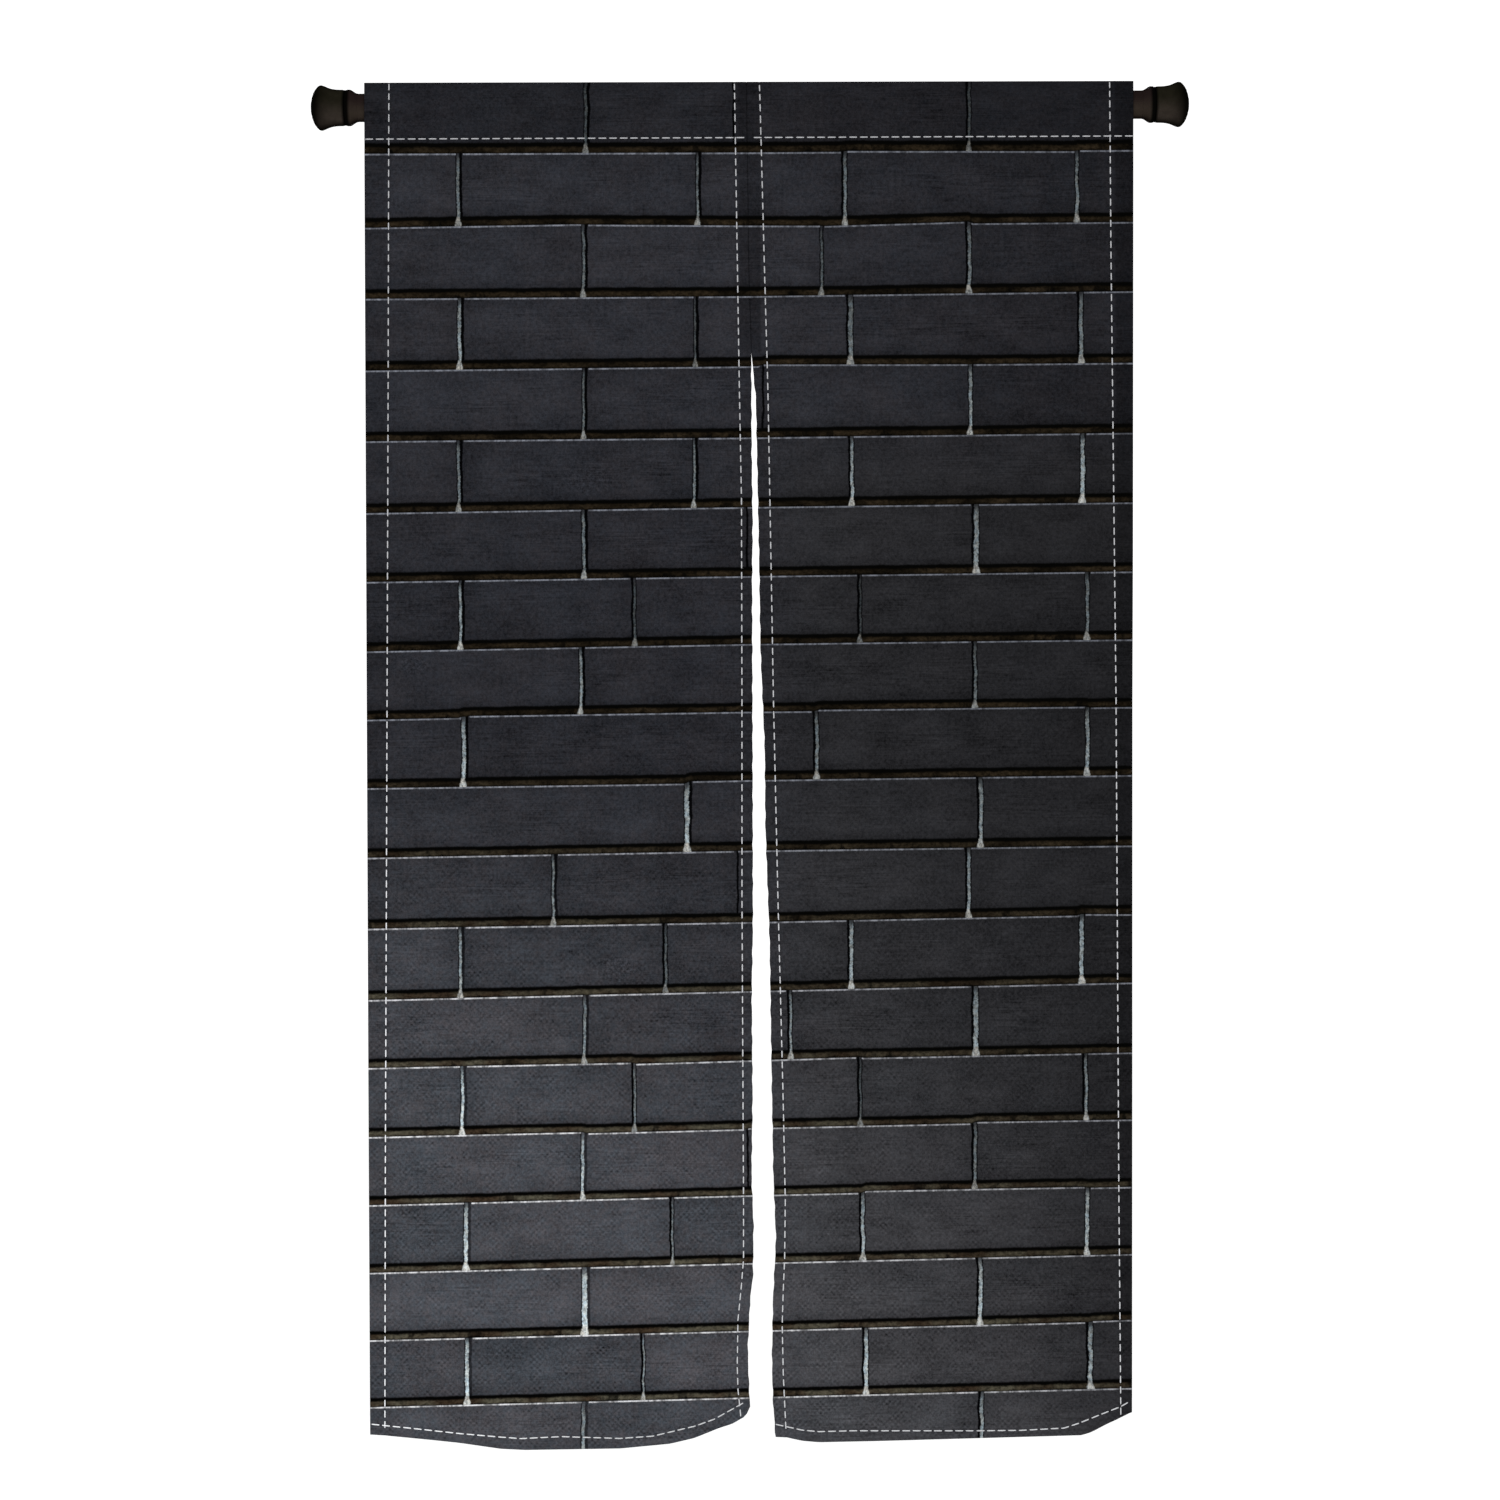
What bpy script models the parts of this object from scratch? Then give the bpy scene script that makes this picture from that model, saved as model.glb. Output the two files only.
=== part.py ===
"""A noren: a split doorway curtain of two sewn panels, hung on a tension rod with rubber feet.

Units are metres. The origin is on the rod's axis at mid-span, X runs along the rod, the printed
front faces -Y and Z is up, so the cloth hangs down from the origin.
"""

from collections import namedtuple
from math import acos, cos, exp, pi, radians, sin

import bmesh
import bpy
import numpy as np

# Rod, from the tip of one foot to the tip of the other
SPAN = 0.972
ROD_RADIUS = 0.0155
ROD_WALL = 0.0008
ROD_END_DEPTH = 0.012  # how far the rod's end stays behind the tip of a foot

# Rubber foot and painted collar, as radii and as distances in from the tip of the foot: a domed
# pad with a flat middle, its round rim, and a hollow flare down to the barrel
Ring = namedtuple("Ring", "radius depth")
FOOT_RINGS = (
    Ring(0.0090, 0.0000),
    Ring(0.0144, 0.0020),
    Ring(0.0192, 0.0045),
    Ring(0.0222, 0.0068),
    Ring(0.0242, 0.0090),
    Ring(0.0249, 0.0110),
    Ring(0.0246, 0.0128),
    Ring(0.0236, 0.0156),
    Ring(0.0220, 0.0189),
    Ring(0.0208, 0.0234),
    Ring(0.0201, 0.0278),
    Ring(0.0199, 0.0325),
)
BARREL_RADIUS = 0.0199
GROOVE_RADIUS = 0.0194
GROOVE_START = 0.0360
GROOVE_END = 0.0398
GROOVE_EASE = 0.0003  # half the length of each sloping side of the groove
CHAMFER_START = 0.0436
CHAMFER_ROUND = 0.0010
COLLAR_END = 0.0508
COLLAR_LIP = 0.0004

# Cloth
CLOTH_THICKNESS = 0.0012
HEM_THICKNESS = 0.0020
SIDE_HEM_WIDTH = 0.020
BOTTOM_HEM_WIDTH = 0.012
FOLD_HEIGHT = 0.0254  # middle of the cloth at the pressed crease over the rod
POCKET_HEIGHT = -0.0347  # the seam that closes the rod pocket
SLIT_TOP = -0.272
LOWEST_HEM = -1.488

GAP = 0.0003  # between pieces that touch
FACET_SLACK = 0.0001  # for the flats of the rod and the pocket
BORE_RADIUS = ROD_RADIUS + GAP
POCKET_RADIUS = ROD_RADIUS + GAP + HEM_THICKNESS / 2 + FACET_SLACK

POCKET_ARC_STEPS = 6
FIELD_COLUMNS = 11
SHEET_ROWS = 25
HEM_ROWS = 2
ROUND_STEPS = 40

# The outline of each panel, as it hangs. Heights run down from the rod's axis.
Side = namedtuple("Side", "height x")
Hem = namedtuple("Hem", "x height")

SEAM = (
    Side(FOLD_HEIGHT, -0.0037),
    Side(-0.170, -0.0021),
    Side(SLIT_TOP, 0.0004),
)
LEFT_OUTER = (Side(FOLD_HEIGHT, -0.4270), Side(-1.100, -0.4268), Side(-1.470, -0.4263))
LEFT_SLIT = SEAM + (
    Side(-0.325, -0.0008),
    Side(-0.464, 0.0000),
    Side(-0.713, -0.0018),
    Side(-0.979, -0.0038),
    Side(-1.101, -0.0035),
    Side(-1.240, -0.0032),
    Side(-1.323, -0.0066),
    Side(-1.378, -0.0091),
    Side(-1.441, -0.0065),
)
LEFT_HEM = (
    Hem(-0.4263, -1.4700),
    Hem(-0.3585, -1.4762),
    Hem(-0.2821, -1.4863),
    Hem(-0.2544, -1.4877),
    Hem(-0.1502, -1.4865),
    Hem(-0.0948, -1.4815),
    Hem(-0.0675, -1.4752),
    Hem(-0.0399, -1.4642),
    Hem(-0.0260, -1.4599),
    Hem(-0.0122, -1.4522),
    Hem(-0.0065, -1.4411),
)
RIGHT_OUTER = (
    Side(FOLD_HEIGHT, 0.4243),
    Side(-0.493, 0.4212),
    Side(-0.660, 0.4194),
    Side(-0.992, 0.4180),
    Side(-1.449, 0.4161),
)
RIGHT_SLIT = SEAM + (
    Side(-0.325, 0.0053),
    Side(-0.436, 0.0071),
    Side(-0.602, 0.0097),
    Side(-0.713, 0.0137),
    Side(-0.868, 0.0164),
    Side(-1.001, 0.0191),
    Side(-1.184, 0.0217),
    Side(-1.256, 0.0236),
    Side(-1.323, 0.0200),
    Side(-1.389, 0.0186),
    Side(-1.474, 0.0222),
)
RIGHT_HEM = (
    Hem(0.0222, -1.4745),
    Hem(0.0349, -1.4751),
    Hem(0.0515, -1.4788),
    Hem(0.0703, -1.4805),
    Hem(0.1379, -1.4794),
    Hem(0.3617, -1.4739),
    Hem(0.3728, -1.4704),
    Hem(0.3895, -1.4616),
    Hem(0.4161, -1.4490),
)

# Columns that follow the rounded corner at the foot of the slit, as distances in from it
LEFT_CORNER = (0.012, 0.006, 0.002)
RIGHT_CORNER = (0.012,)

# The soft folds that the cloth hangs in: a positive depth comes forward, and each fold grows
# from its start down to the hem. A drift leans it sideways on the way down.
Fold = namedtuple("Fold", "panel x drift width depth start")
FOLDS = (
    Fold("both", -0.335, -0.010, 0.062, 0.010, -0.060),
    Fold("both", -0.205, 0.012, 0.058, -0.010, -0.045),
    Fold("both", -0.085, 0.006, 0.050, 0.009, -0.100),
    Fold("both", 0.120, 0.008, 0.055, 0.009, -0.080),
    Fold("both", 0.235, -0.010, 0.056, -0.010, -0.050),
    Fold("both", 0.350, 0.006, 0.050, 0.009, -0.120),
    Fold("left", -0.004, 0.000, 0.040, -0.012, -0.620),
    Fold("left", -0.427, 0.000, 0.035, -0.006, -0.800),
    Fold("right", 0.020, 0.000, 0.040, -0.008, -0.700),
    Fold("right", 0.416, 0.000, 0.040, -0.012, -0.900),
)

PRINTED_CLOTH = ("printed_cloth", (0.018, 0.019, 0.023), 0.86, 0.0)
BRONZE_PAINT = ("bronze_paint", (0.030, 0.021, 0.018), 0.42, 0.55)
FOOT_RUBBER = ("foot_rubber", (0.012, 0.010, 0.008), 0.55, 0.0)


def clear_scene():
    for obj in list(bpy.data.objects):
        bpy.data.objects.remove(obj, do_unlink=True)


def make_material(name, colour, roughness, metallic):
    """One Principled material of a plain colour."""
    material = bpy.data.materials.new(name)
    material.use_nodes = True
    shader = material.node_tree.nodes["Principled BSDF"]
    shader.inputs["Base Color"].default_value = (*colour, 1.0)
    shader.inputs["Roughness"].default_value = roughness
    shader.inputs["Metallic"].default_value = metallic
    return material


def add_object(name, bm, material, collection):
    """A named object from a finished bmesh."""
    mesh = bpy.data.meshes.new(name)
    bm.to_mesh(mesh)
    bm.free()
    mesh.materials.append(material)
    obj = bpy.data.objects.new(name, mesh)
    collection.objects.link(obj)
    return obj


def side_at(side, height):
    """Where a side edge stands at a height."""
    heights = [-row.height for row in side]
    return float(np.interp(-height, heights, [row.x for row in side]))


def hem_at(hem, x):
    """How low the bottom edge hangs at a place along the rod."""
    return float(np.interp(x, [row.x for row in hem], [row.height for row in hem]))


def fold_depth(panel, x, height):
    """How far the cloth hangs behind (+Y) the rod's plane, as the sum of its soft folds."""
    total = 0.0
    for fold in FOLDS:
        if fold.panel not in ("both", panel) or height >= fold.start:
            continue
        fallen = min((fold.start - height) / (fold.start - LOWEST_HEM), 1.0)
        grown = fallen * fallen * (3 - 2 * fallen)
        off = (x - fold.x - fold.drift * fallen) / fold.width
        total -= fold.depth * grown * exp(-off * off)
    return total


def columns(width, corner):
    """Shares of the way across a panel, from its outer edge to its slit edge: both hems, an even
    field between them, and a few more where the corner at the slit is rounded."""
    hem = SIDE_HEM_WIDTH / width
    field = np.linspace(hem, 1 - hem, FIELD_COLUMNS)
    return [0.0, hem / 2, *field, *(1 - step / width for step in corner), 1.0]


def pocket_section():
    """The section over the rod, from the pocket's seam up the front and down the back to it."""
    upper = acos(POCKET_RADIUS / FOLD_HEIGHT)
    lower = pi - acos(POCKET_RADIUS / -POCKET_HEIGHT)
    angles = np.linspace(lower, upper, POCKET_ARC_STEPS + 1)
    front = [(-POCKET_RADIUS * sin(a), POCKET_RADIUS * cos(a)) for a in angles]
    back = [(-y, z) for y, z in reversed(front)]
    return [*front, (0.0, FOLD_HEIGHT), *back]


def row_heights(lowest):
    """The heights of the rows of one column of the hung sheet, from the pocket's seam down."""
    hem_line = lowest + BOTTOM_HEM_WIDTH
    hung = np.linspace(POCKET_HEIGHT, hem_line, SHEET_ROWS + 1)
    return [*hung, *np.linspace(hem_line, lowest, HEM_ROWS + 1)[1:]]


def make_panel(side, outer, slit, hem, corner, material, collection):
    """One panel of cloth: a hung sheet whose top runs over the rod and back to its seam. Its
    hems are thicker than its field."""
    seam_shift = -GAP / 2 if side == "left" else GAP / 2
    width = abs(outer[0].x - slit[0].x)
    across = columns(width, corner)
    bm = bmesh.new()
    thickness = bm.verts.layers.deform.verify()

    def place(share, y, height, hemmed=False):
        edge_x = side_at(slit, height) + seam_shift
        x = side_at(outer, height) * (1 - share) + edge_x * share
        vert = bm.verts.new((x, y, height))
        at_side = min(share, 1 - share) * width < SIDE_HEM_WIDTH * 0.9
        vert[thickness][0] = 1.0 if hemmed or at_side else CLOTH_THICKNESS / HEM_THICKNESS
        return vert

    over_rod = [[place(share, y, z) for share in across] for y, z in pocket_section()]
    seam_row = [place(share, 0.0, POCKET_HEIGHT) for share in across]

    lines = [[vert] for vert in seam_row]
    for share, line in zip(across, lines):
        foot_x = outer[-1].x * (1 - share) + slit[-1].x * share
        heights = row_heights(hem_at(hem, foot_x))
        for number, height in enumerate(heights[1:], start=1):
            vert = place(share, 0.0, height, hemmed=number > SHEET_ROWS)
            vert.co.y = fold_depth(side, vert.co.x, height)
            line.append(vert)

    loop = [seam_row, *over_rod, seam_row]
    for rows in (loop, list(zip(*lines))):
        for upper, lower in zip(rows, rows[1:]):
            for i in range(len(across) - 1):
                bm.faces.new((upper[i], upper[i + 1], lower[i + 1], lower[i]))

    obj = add_object("panel_" + side, bm, material, collection)
    obj.vertex_groups.new(name="thickness")
    solidify = obj.modifiers.new("thickness", "SOLIDIFY")
    solidify.solidify_mode = "NON_MANIFOLD"
    solidify.nonmanifold_thickness_mode = "EVEN"
    solidify.thickness = HEM_THICKNESS
    solidify.offset = 0.0
    solidify.vertex_group = "thickness"


def make_turned(name, profile, material, collection, end):
    """A turned piece on the rod's axis. The profile's points are (radius, distance in from the
    foot's tip), and end is -1 for the left end of the rod or 1 for the right one."""
    bm = bmesh.new()
    verts = [bm.verts.new((radius, 0.0, -depth)) for radius, depth in profile]
    for a, b in zip(verts, verts[1:]):
        bm.edges.new((a, b))
    if profile[0][0] > 0:
        bm.edges.new((verts[-1], verts[0]))
    obj = add_object(name, bm, material, collection)
    screw = obj.modifiers.new("turn", "SCREW")
    screw.steps = ROUND_STEPS
    screw.render_steps = ROUND_STEPS
    screw.use_merge_vertices = True
    screw.merge_threshold = 0.00001
    screw.use_smooth_shade = True
    obj.location.x = end * SPAN / 2
    obj.rotation_euler.y = end * radians(90)
    return obj


def foot_profile():
    """The rubber foot: a domed pad, a rim, a hollow flare to the barrel, and a blind bore."""
    butt = (GROOVE_START + GROOVE_END - GAP) / 2
    return [(0.0, 0.0)] + [(ring.radius, ring.depth) for ring in FOOT_RINGS] + [
        (BARREL_RADIUS, GROOVE_START - GROOVE_EASE),
        (GROOVE_RADIUS, GROOVE_START + GROOVE_EASE),
        (GROOVE_RADIUS, butt),
        (BORE_RADIUS, butt),
        (BORE_RADIUS, ROD_END_DEPTH - GAP),
        (0.0, ROD_END_DEPTH - GAP),
    ]


def collar_profile():
    """The painted collar: its half of the groove, a short barrel and a chamfer down to the rod."""
    butt = (GROOVE_START + GROOVE_END + GAP) / 2
    return [
        (BORE_RADIUS, butt),
        (GROOVE_RADIUS, butt),
        (GROOVE_RADIUS, GROOVE_END - GROOVE_EASE),
        (BARREL_RADIUS, GROOVE_END + GROOVE_EASE),
        (BARREL_RADIUS, CHAMFER_START),
        (BARREL_RADIUS - CHAMFER_ROUND / 2, CHAMFER_START + CHAMFER_ROUND),
        (BORE_RADIUS + COLLAR_LIP, COLLAR_END - COLLAR_LIP),
        (BORE_RADIUS, COLLAR_END),
    ]


def rod_profile():
    """The steel tube, open at both ends."""
    inner = ROD_RADIUS - ROD_WALL
    start = ROD_END_DEPTH
    end = SPAN - ROD_END_DEPTH
    return [(inner, start), (ROD_RADIUS, start), (ROD_RADIUS, end), (inner, end)]


def build():
    clear_scene()
    parts = bpy.data.collections.new("noren_curtain")
    bpy.context.scene.collection.children.link(parts)
    cloth = make_material(*PRINTED_CLOTH)
    paint = make_material(*BRONZE_PAINT)
    rubber = make_material(*FOOT_RUBBER)

    make_panel("left", LEFT_OUTER, LEFT_SLIT, LEFT_HEM, LEFT_CORNER, cloth, parts)
    make_panel("right", RIGHT_OUTER, RIGHT_SLIT, RIGHT_HEM, RIGHT_CORNER, cloth, parts)

    make_turned("rod_tube", rod_profile(), paint, parts, 1)
    for side, end in (("left", -1), ("right", 1)):
        make_turned("collar_" + side, collar_profile(), paint, parts, end)
        make_turned("foot_" + side, foot_profile(), rubber, parts, end)


build()
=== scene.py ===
"""Looks of the noren: fine cloth panels with their hems, stitching and brick print, and the rod.

Units are metres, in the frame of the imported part: X along the rod, the print faces -Y, Z up, and
the origin on the rod's axis at mid-span.
"""

from collections import namedtuple
from math import acos, cos, pi, radians, sin

import bpy
import numpy as np
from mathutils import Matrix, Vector


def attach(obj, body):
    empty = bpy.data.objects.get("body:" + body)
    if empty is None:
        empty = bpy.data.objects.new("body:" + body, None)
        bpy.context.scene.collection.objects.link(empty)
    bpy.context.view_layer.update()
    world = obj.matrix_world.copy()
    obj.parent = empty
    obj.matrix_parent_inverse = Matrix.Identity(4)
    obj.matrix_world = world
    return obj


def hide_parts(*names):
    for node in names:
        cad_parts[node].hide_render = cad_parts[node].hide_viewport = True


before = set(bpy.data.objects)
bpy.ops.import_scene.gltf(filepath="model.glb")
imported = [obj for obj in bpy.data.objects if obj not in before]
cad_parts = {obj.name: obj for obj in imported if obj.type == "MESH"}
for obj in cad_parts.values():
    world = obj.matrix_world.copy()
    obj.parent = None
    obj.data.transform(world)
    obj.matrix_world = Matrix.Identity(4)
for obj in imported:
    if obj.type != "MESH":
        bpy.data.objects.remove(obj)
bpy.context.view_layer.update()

# Camera: a long lens square to the curtain, turned a little as the photograph was
VIEW_CENTRE = (-0.0029, -0.7132)
VIEW_DISTANCE = 3.924
LENS = 85
SENSOR = 36
CAMERA_ROLL = radians(0.2405)

# Studio
FLOOR_HEIGHT = -1.90
FLOOR_SIZE = 24.0
DOME_STRENGTH = 1.16
SOFTBOX_POWER = 26.0
SOFTBOX_SIZE = (2.4, 2.4)
SOFTBOX_PLACES = ((-2.9, -3.2, 0.6), (3.1, -3.0, -0.5))

# Rod, feet and collars, finer than in the imported part: radii, and depths in from a foot's tip.
# Painted shade makes the groove between a foot and its collar darker than it is deep: it grows over
# the first depths and fades over the second.
FOOT_SHADE_GROWS = (0.0341, 0.0377)
COLLAR_SHADE_FADES = (0.0409, 0.0451)
SPAN = 0.972
ROD_RADIUS = 0.0155
ROD_END_DEPTH = 0.012
GAP = 0.00005
ROUND_STEPS = 128
Ring = namedtuple("Ring", "radius depth")
PAD_RINGS = (
    Ring(0.0, 0.0002), Ring(0.0060, 0.0002), Ring(0.0104, 0.0011), Ring(0.0144, 0.0023),
    Ring(0.0170, 0.0034), Ring(0.0192, 0.0045), Ring(0.0208, 0.0057), Ring(0.0222, 0.0068),
    Ring(0.0234, 0.0080), Ring(0.0242, 0.0091), Ring(0.0246, 0.0101), Ring(0.0248, 0.0112),
    Ring(0.0247, 0.0123), Ring(0.0244, 0.0134), Ring(0.0236, 0.0156), Ring(0.0226, 0.0178),
    Ring(0.0217, 0.0201), Ring(0.0210, 0.0223), Ring(0.0205, 0.0250), Ring(0.0201, 0.0278),
    Ring(0.0200, 0.0300), Ring(0.0199, 0.0330), Ring(0.0199, 0.0350), Ring(0.0198, 0.0356),
    Ring(0.0196, 0.0361), Ring(0.0194, 0.0368), Ring(0.0194, 0.0376),
)
COLLAR_RINGS = (
    Ring(0.0194, 0.0382), Ring(0.0194, 0.0391), Ring(0.0197, 0.0396), Ring(0.0199, 0.0400),
    Ring(0.0200, 0.0406), Ring(0.0200, 0.0430), Ring(0.0199, 0.0437), Ring(0.0196, 0.0444),
    Ring(0.0191, 0.0453), Ring(0.0184, 0.0463), Ring(0.0177, 0.0474), Ring(0.0169, 0.0486),
    Ring(0.0163, 0.0497), Ring(0.0159, 0.0505), Ring(0.0157, 0.0512), Ring(0.0156, 0.0520),
)
DOME_RINGS = 8  # of the pad's, which are its domed face
DOME_STEPS = 60
MOULD_RINGS = (0.0075, 0.0125, 0.0170)  # fine raised circles on the pad's face
MOULD_RING_HEIGHT = 0.0002
MOULD_RING_WIDTH = 0.0008

# Cloth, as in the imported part
POCKET_HEIGHT = -0.0347  # of the seam that closes the rod pocket
SLIT_TOP = -0.272
LOWEST_HEM = -1.488

# Cloth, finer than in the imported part
PROUD = 0.0005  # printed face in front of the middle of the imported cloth
POCKET_FACE_RADIUS = 0.0174
CREASE_TOP = 0.0272
CREASE_TILT = -0.0018  # metres of rise for each metre to the right
CREASE_ROUND = 0.0010
FLAP_BELOW_SEAM = 0.0028
CLOTH = 0.0004
HEM_EXTRA = 0.0008  # two more layers of cloth in a turned hem
EDGE_ROUND = 0.36  # share of the thickness that the folded edges round off
NEXT_ROUND = 0.35  # share of that in the row next to the edge
STITCH_TROUGH = 0.00018
HEM_PAST_STITCH = 0.0026
HEM_STEP = 0.0005
SEAM_BUTT = -0.0001  # the two panels press together where they are sewn
FIELD_COLUMNS = 70
HUNG_ROWS = 285
BELOW_SEAM = 0.010  # where the hung cloth begins, under the seam of the rod pocket
POCKET_STEP = 0.0016
POCKET_ARC_STEPS = 40
POCKET_FINE_STEP = 0.0002
POCKET_SMOOTHING = 6  # fine steps to each side that a corner of the pocket's line is rounded over
CREASE_STEP = 0.0004
CREASE_ROWS = 6  # finer rows to each side of the crease
CREASE_ARC_STEPS = 8
FLAP_LAST_ROWS = (0.0008, 0.0003, 0.0)  # before the flap's end
FLAP_RISE = 0.0012  # of the flap's ends over the side hems that they are folded onto
FLAP_BEGINS = 0.022  # before its seam, where the side hems begin to end
FLAP_EASING = 0.018  # over which they do
BELOW_ALL = -1.6
Waver = namedtuple("Waver", "size pitch phases")
SLIT_WAVERS = (Waver(0.00030, 0.0290, 1), Waver(0.00022, 0.0173, 2))
SLIT_PHASE = {"left": 0.0, "right": 2.0}
WAVER_GROWTH = 0.03  # from the top of the slit down to where its edges waver in full

# Thread
STITCH_PITCH = 0.01175
STITCH_LENGTH = {"upright": 0.0079, "across": 0.0088}
# How far below the crease the first stitch of each upright line begins
FIRST_STITCH = {
    "left": {"outer": 0.0017, "slit": 0.0025},
    "right": {"outer": 0.0019, "slit": 0.0044},
}
FIRST_ACROSS = 0.0008
FROM_FLAP_END = 0.001  # where an upright line begins, up from the end of the flap
FROM_FOOT = 0.0015  # and where it ends, up from the foot of the cloth
CLEAR_OF_FOOT = 0.004  # its corners lower than this over the foot are left out
STITCH_JITTER = 0.0002
THREAD_WIDTH = 0.0014
THREAD_HEIGHT = 0.0008
THREAD_TWIST = 0.0011
DASH_SQUARENESS = 0.12  # a power: the lower, the sooner a dash is up to its full height
THREAD_SIDES = 8
THREAD_STATIONS = 9
STEPS_ALONG_LINE = 200

Place = namedtuple("Place", "height x")
Hem = namedtuple("Hem", "x height")

# The cloth's edges, set to the photograph anew: up to 3 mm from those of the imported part
SEAM = (Place(CREASE_TOP, -0.0037), Place(-0.170, -0.0021), Place(SLIT_TOP, 0.0004))
EDGES = {
    "left": {
        "outer": (Place(CREASE_TOP, -0.4274), Place(-1.100, -0.4273), Place(-1.470, -0.4270)),
        "slit": SEAM + (
            Place(-0.325, 0.0003), Place(-0.381, 0.0003), Place(-0.464, 0.0011),
            Place(-0.519, 0.0002), Place(-0.713, -0.0001), Place(-0.907, -0.0005),
            Place(-0.979, -0.0021), Place(-1.101, -0.0017), Place(-1.184, -0.0032),
            Place(-1.240, -0.0012), Place(-1.295, -0.0020), Place(-1.323, -0.0053),
            Place(-1.378, -0.0081), Place(-1.417, -0.0070), Place(-1.441, -0.0057),
        ),
        "hem": (
            Hem(-0.4263, -1.4700), Hem(-0.4105, -1.4710), Hem(-0.3585, -1.4762),
            Hem(-0.3275, -1.4796), Hem(-0.2821, -1.4863), Hem(-0.2544, -1.4877),
            Hem(-0.1502, -1.4865), Hem(-0.0948, -1.4815), Hem(-0.0675, -1.4752),
            Hem(-0.0399, -1.4642), Hem(-0.0260, -1.4599), Hem(-0.0122, -1.4522),
            Hem(-0.0082, -1.4466), Hem(-0.0065, -1.4411),
        ),
    },
    "right": {
        "outer": (
            Place(CREASE_TOP, 0.4251), Place(-0.493, 0.4224), Place(-0.660, 0.4211),
            Place(-0.992, 0.4196), Place(-1.449, 0.4174),
        ),
        "slit": SEAM + (
            Place(-0.325, 0.0053), Place(-0.381, 0.0062), Place(-0.436, 0.0071),
            Place(-0.492, 0.0080), Place(-0.602, 0.0092), Place(-0.713, 0.0135),
            Place(-0.796, 0.0138), Place(-0.868, 0.0161), Place(-0.924, 0.0180),
            Place(-1.001, 0.0188), Place(-1.101, 0.0199), Place(-1.184, 0.0210),
            Place(-1.256, 0.0236), Place(-1.323, 0.0200), Place(-1.389, 0.0186),
            Place(-1.434, 0.0195), Place(-1.474, 0.0222),
        ),
        "hem": (
            Hem(0.0222, -1.4745), Hem(0.0349, -1.4751), Hem(0.0515, -1.4788),
            Hem(0.0703, -1.4805), Hem(0.1379, -1.4794), Hem(0.3218, -1.4749),
            Hem(0.3617, -1.4739), Hem(0.3728, -1.4704), Hem(0.3895, -1.4616),
            Hem(0.3995, -1.4572), Hem(0.4161, -1.4490),
        ),
    },
}

# Lines of stitching. The upright ones run down from the crease, the others across a hem.
STITCHING = {
    "left": {
        "outer": (
            Place(CREASE_TOP, -0.3998), Place(-0.3126, -0.4021), Place(-0.8777, -0.4064),
            Place(-1.1657, -0.4087), Place(-1.470, -0.4105),
        ),
        "slit": (
            Place(CREASE_TOP, -0.0172), Place(-0.170, -0.0147), Place(-0.314, -0.0130),
            Place(-0.436, -0.0112), Place(-0.658, -0.0116), Place(-0.879, -0.0125),
            Place(-1.212, -0.0122), Place(-1.278, -0.0125), Place(-1.311, -0.0154),
            Place(-1.345, -0.0190), Place(-1.396, -0.0200), Place(-1.422, -0.0192),
            Place(-1.450, -0.0164),
        ),
        "hem": (
            Hem(-0.4262, -1.4582), Hem(-0.3828, -1.4628), Hem(-0.3274, -1.4691),
            Hem(-0.2820, -1.4732), Hem(-0.2599, -1.4749), Hem(-0.2144, -1.4729),
            Hem(-0.1502, -1.4752), Hem(-0.1136, -1.4728), Hem(-0.0670, -1.4619),
            Hem(-0.0454, -1.4542), Hem(-0.0215, -1.4410), Hem(-0.0076, -1.4333),
        ),
    },
    "right": {
        "outer": (
            Place(CREASE_TOP, 0.3986), Place(-0.172, 0.3993), Place(-0.316, 0.4004),
            Place(-0.6595, 0.4028), Place(-1.2135, 0.4036), Place(-1.449, 0.4047),
        ),
        "slit": (
            Place(CREASE_TOP, 0.0105), Place(-0.170, 0.0151), Place(-0.314, 0.0186),
            Place(-0.436, 0.0203), Place(-0.658, 0.0233), Place(-0.8795, 0.0274),
            Place(-1.090, 0.0320), Place(-1.212, 0.0341), Place(-1.278, 0.0331),
            Place(-1.312, 0.0314), Place(-1.350, 0.0301), Place(-1.406, 0.0311),
            Place(-1.4745, 0.0341),
        ),
        "hem": (
            Hem(0.0216, -1.4601), Hem(0.0338, -1.4628), Hem(0.0515, -1.4668),
            Hem(0.0703, -1.4686), Hem(0.1069, -1.4678), Hem(0.2487, -1.4684),
            Hem(0.2942, -1.4681), Hem(0.3418, -1.4658), Hem(0.3585, -1.4604),
            Hem(0.3862, -1.4494), Hem(0.4045, -1.4423), Hem(0.4168, -1.4354),
        ),
    },
}

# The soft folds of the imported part: a positive depth comes forward
Fold = namedtuple("Fold", "panel x drift width depth start")
FOLDS = (
    Fold("both", -0.335, -0.010, 0.062, 0.010, -0.060),
    Fold("both", -0.205, 0.012, 0.058, -0.010, -0.045),
    Fold("both", -0.085, 0.006, 0.050, 0.009, -0.100),
    Fold("both", 0.120, 0.008, 0.055, 0.009, -0.080),
    Fold("both", 0.235, -0.010, 0.056, -0.010, -0.050),
    Fold("both", 0.350, 0.006, 0.050, 0.009, -0.120),
    Fold("left", -0.004, 0.000, 0.040, -0.012, -0.620),
    Fold("left", -0.427, 0.000, 0.035, -0.006, -0.800),
    Fold("right", 0.020, 0.000, 0.040, -0.008, -0.700),
    Fold("right", 0.416, 0.000, 0.040, -0.012, -0.900),
)
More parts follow.
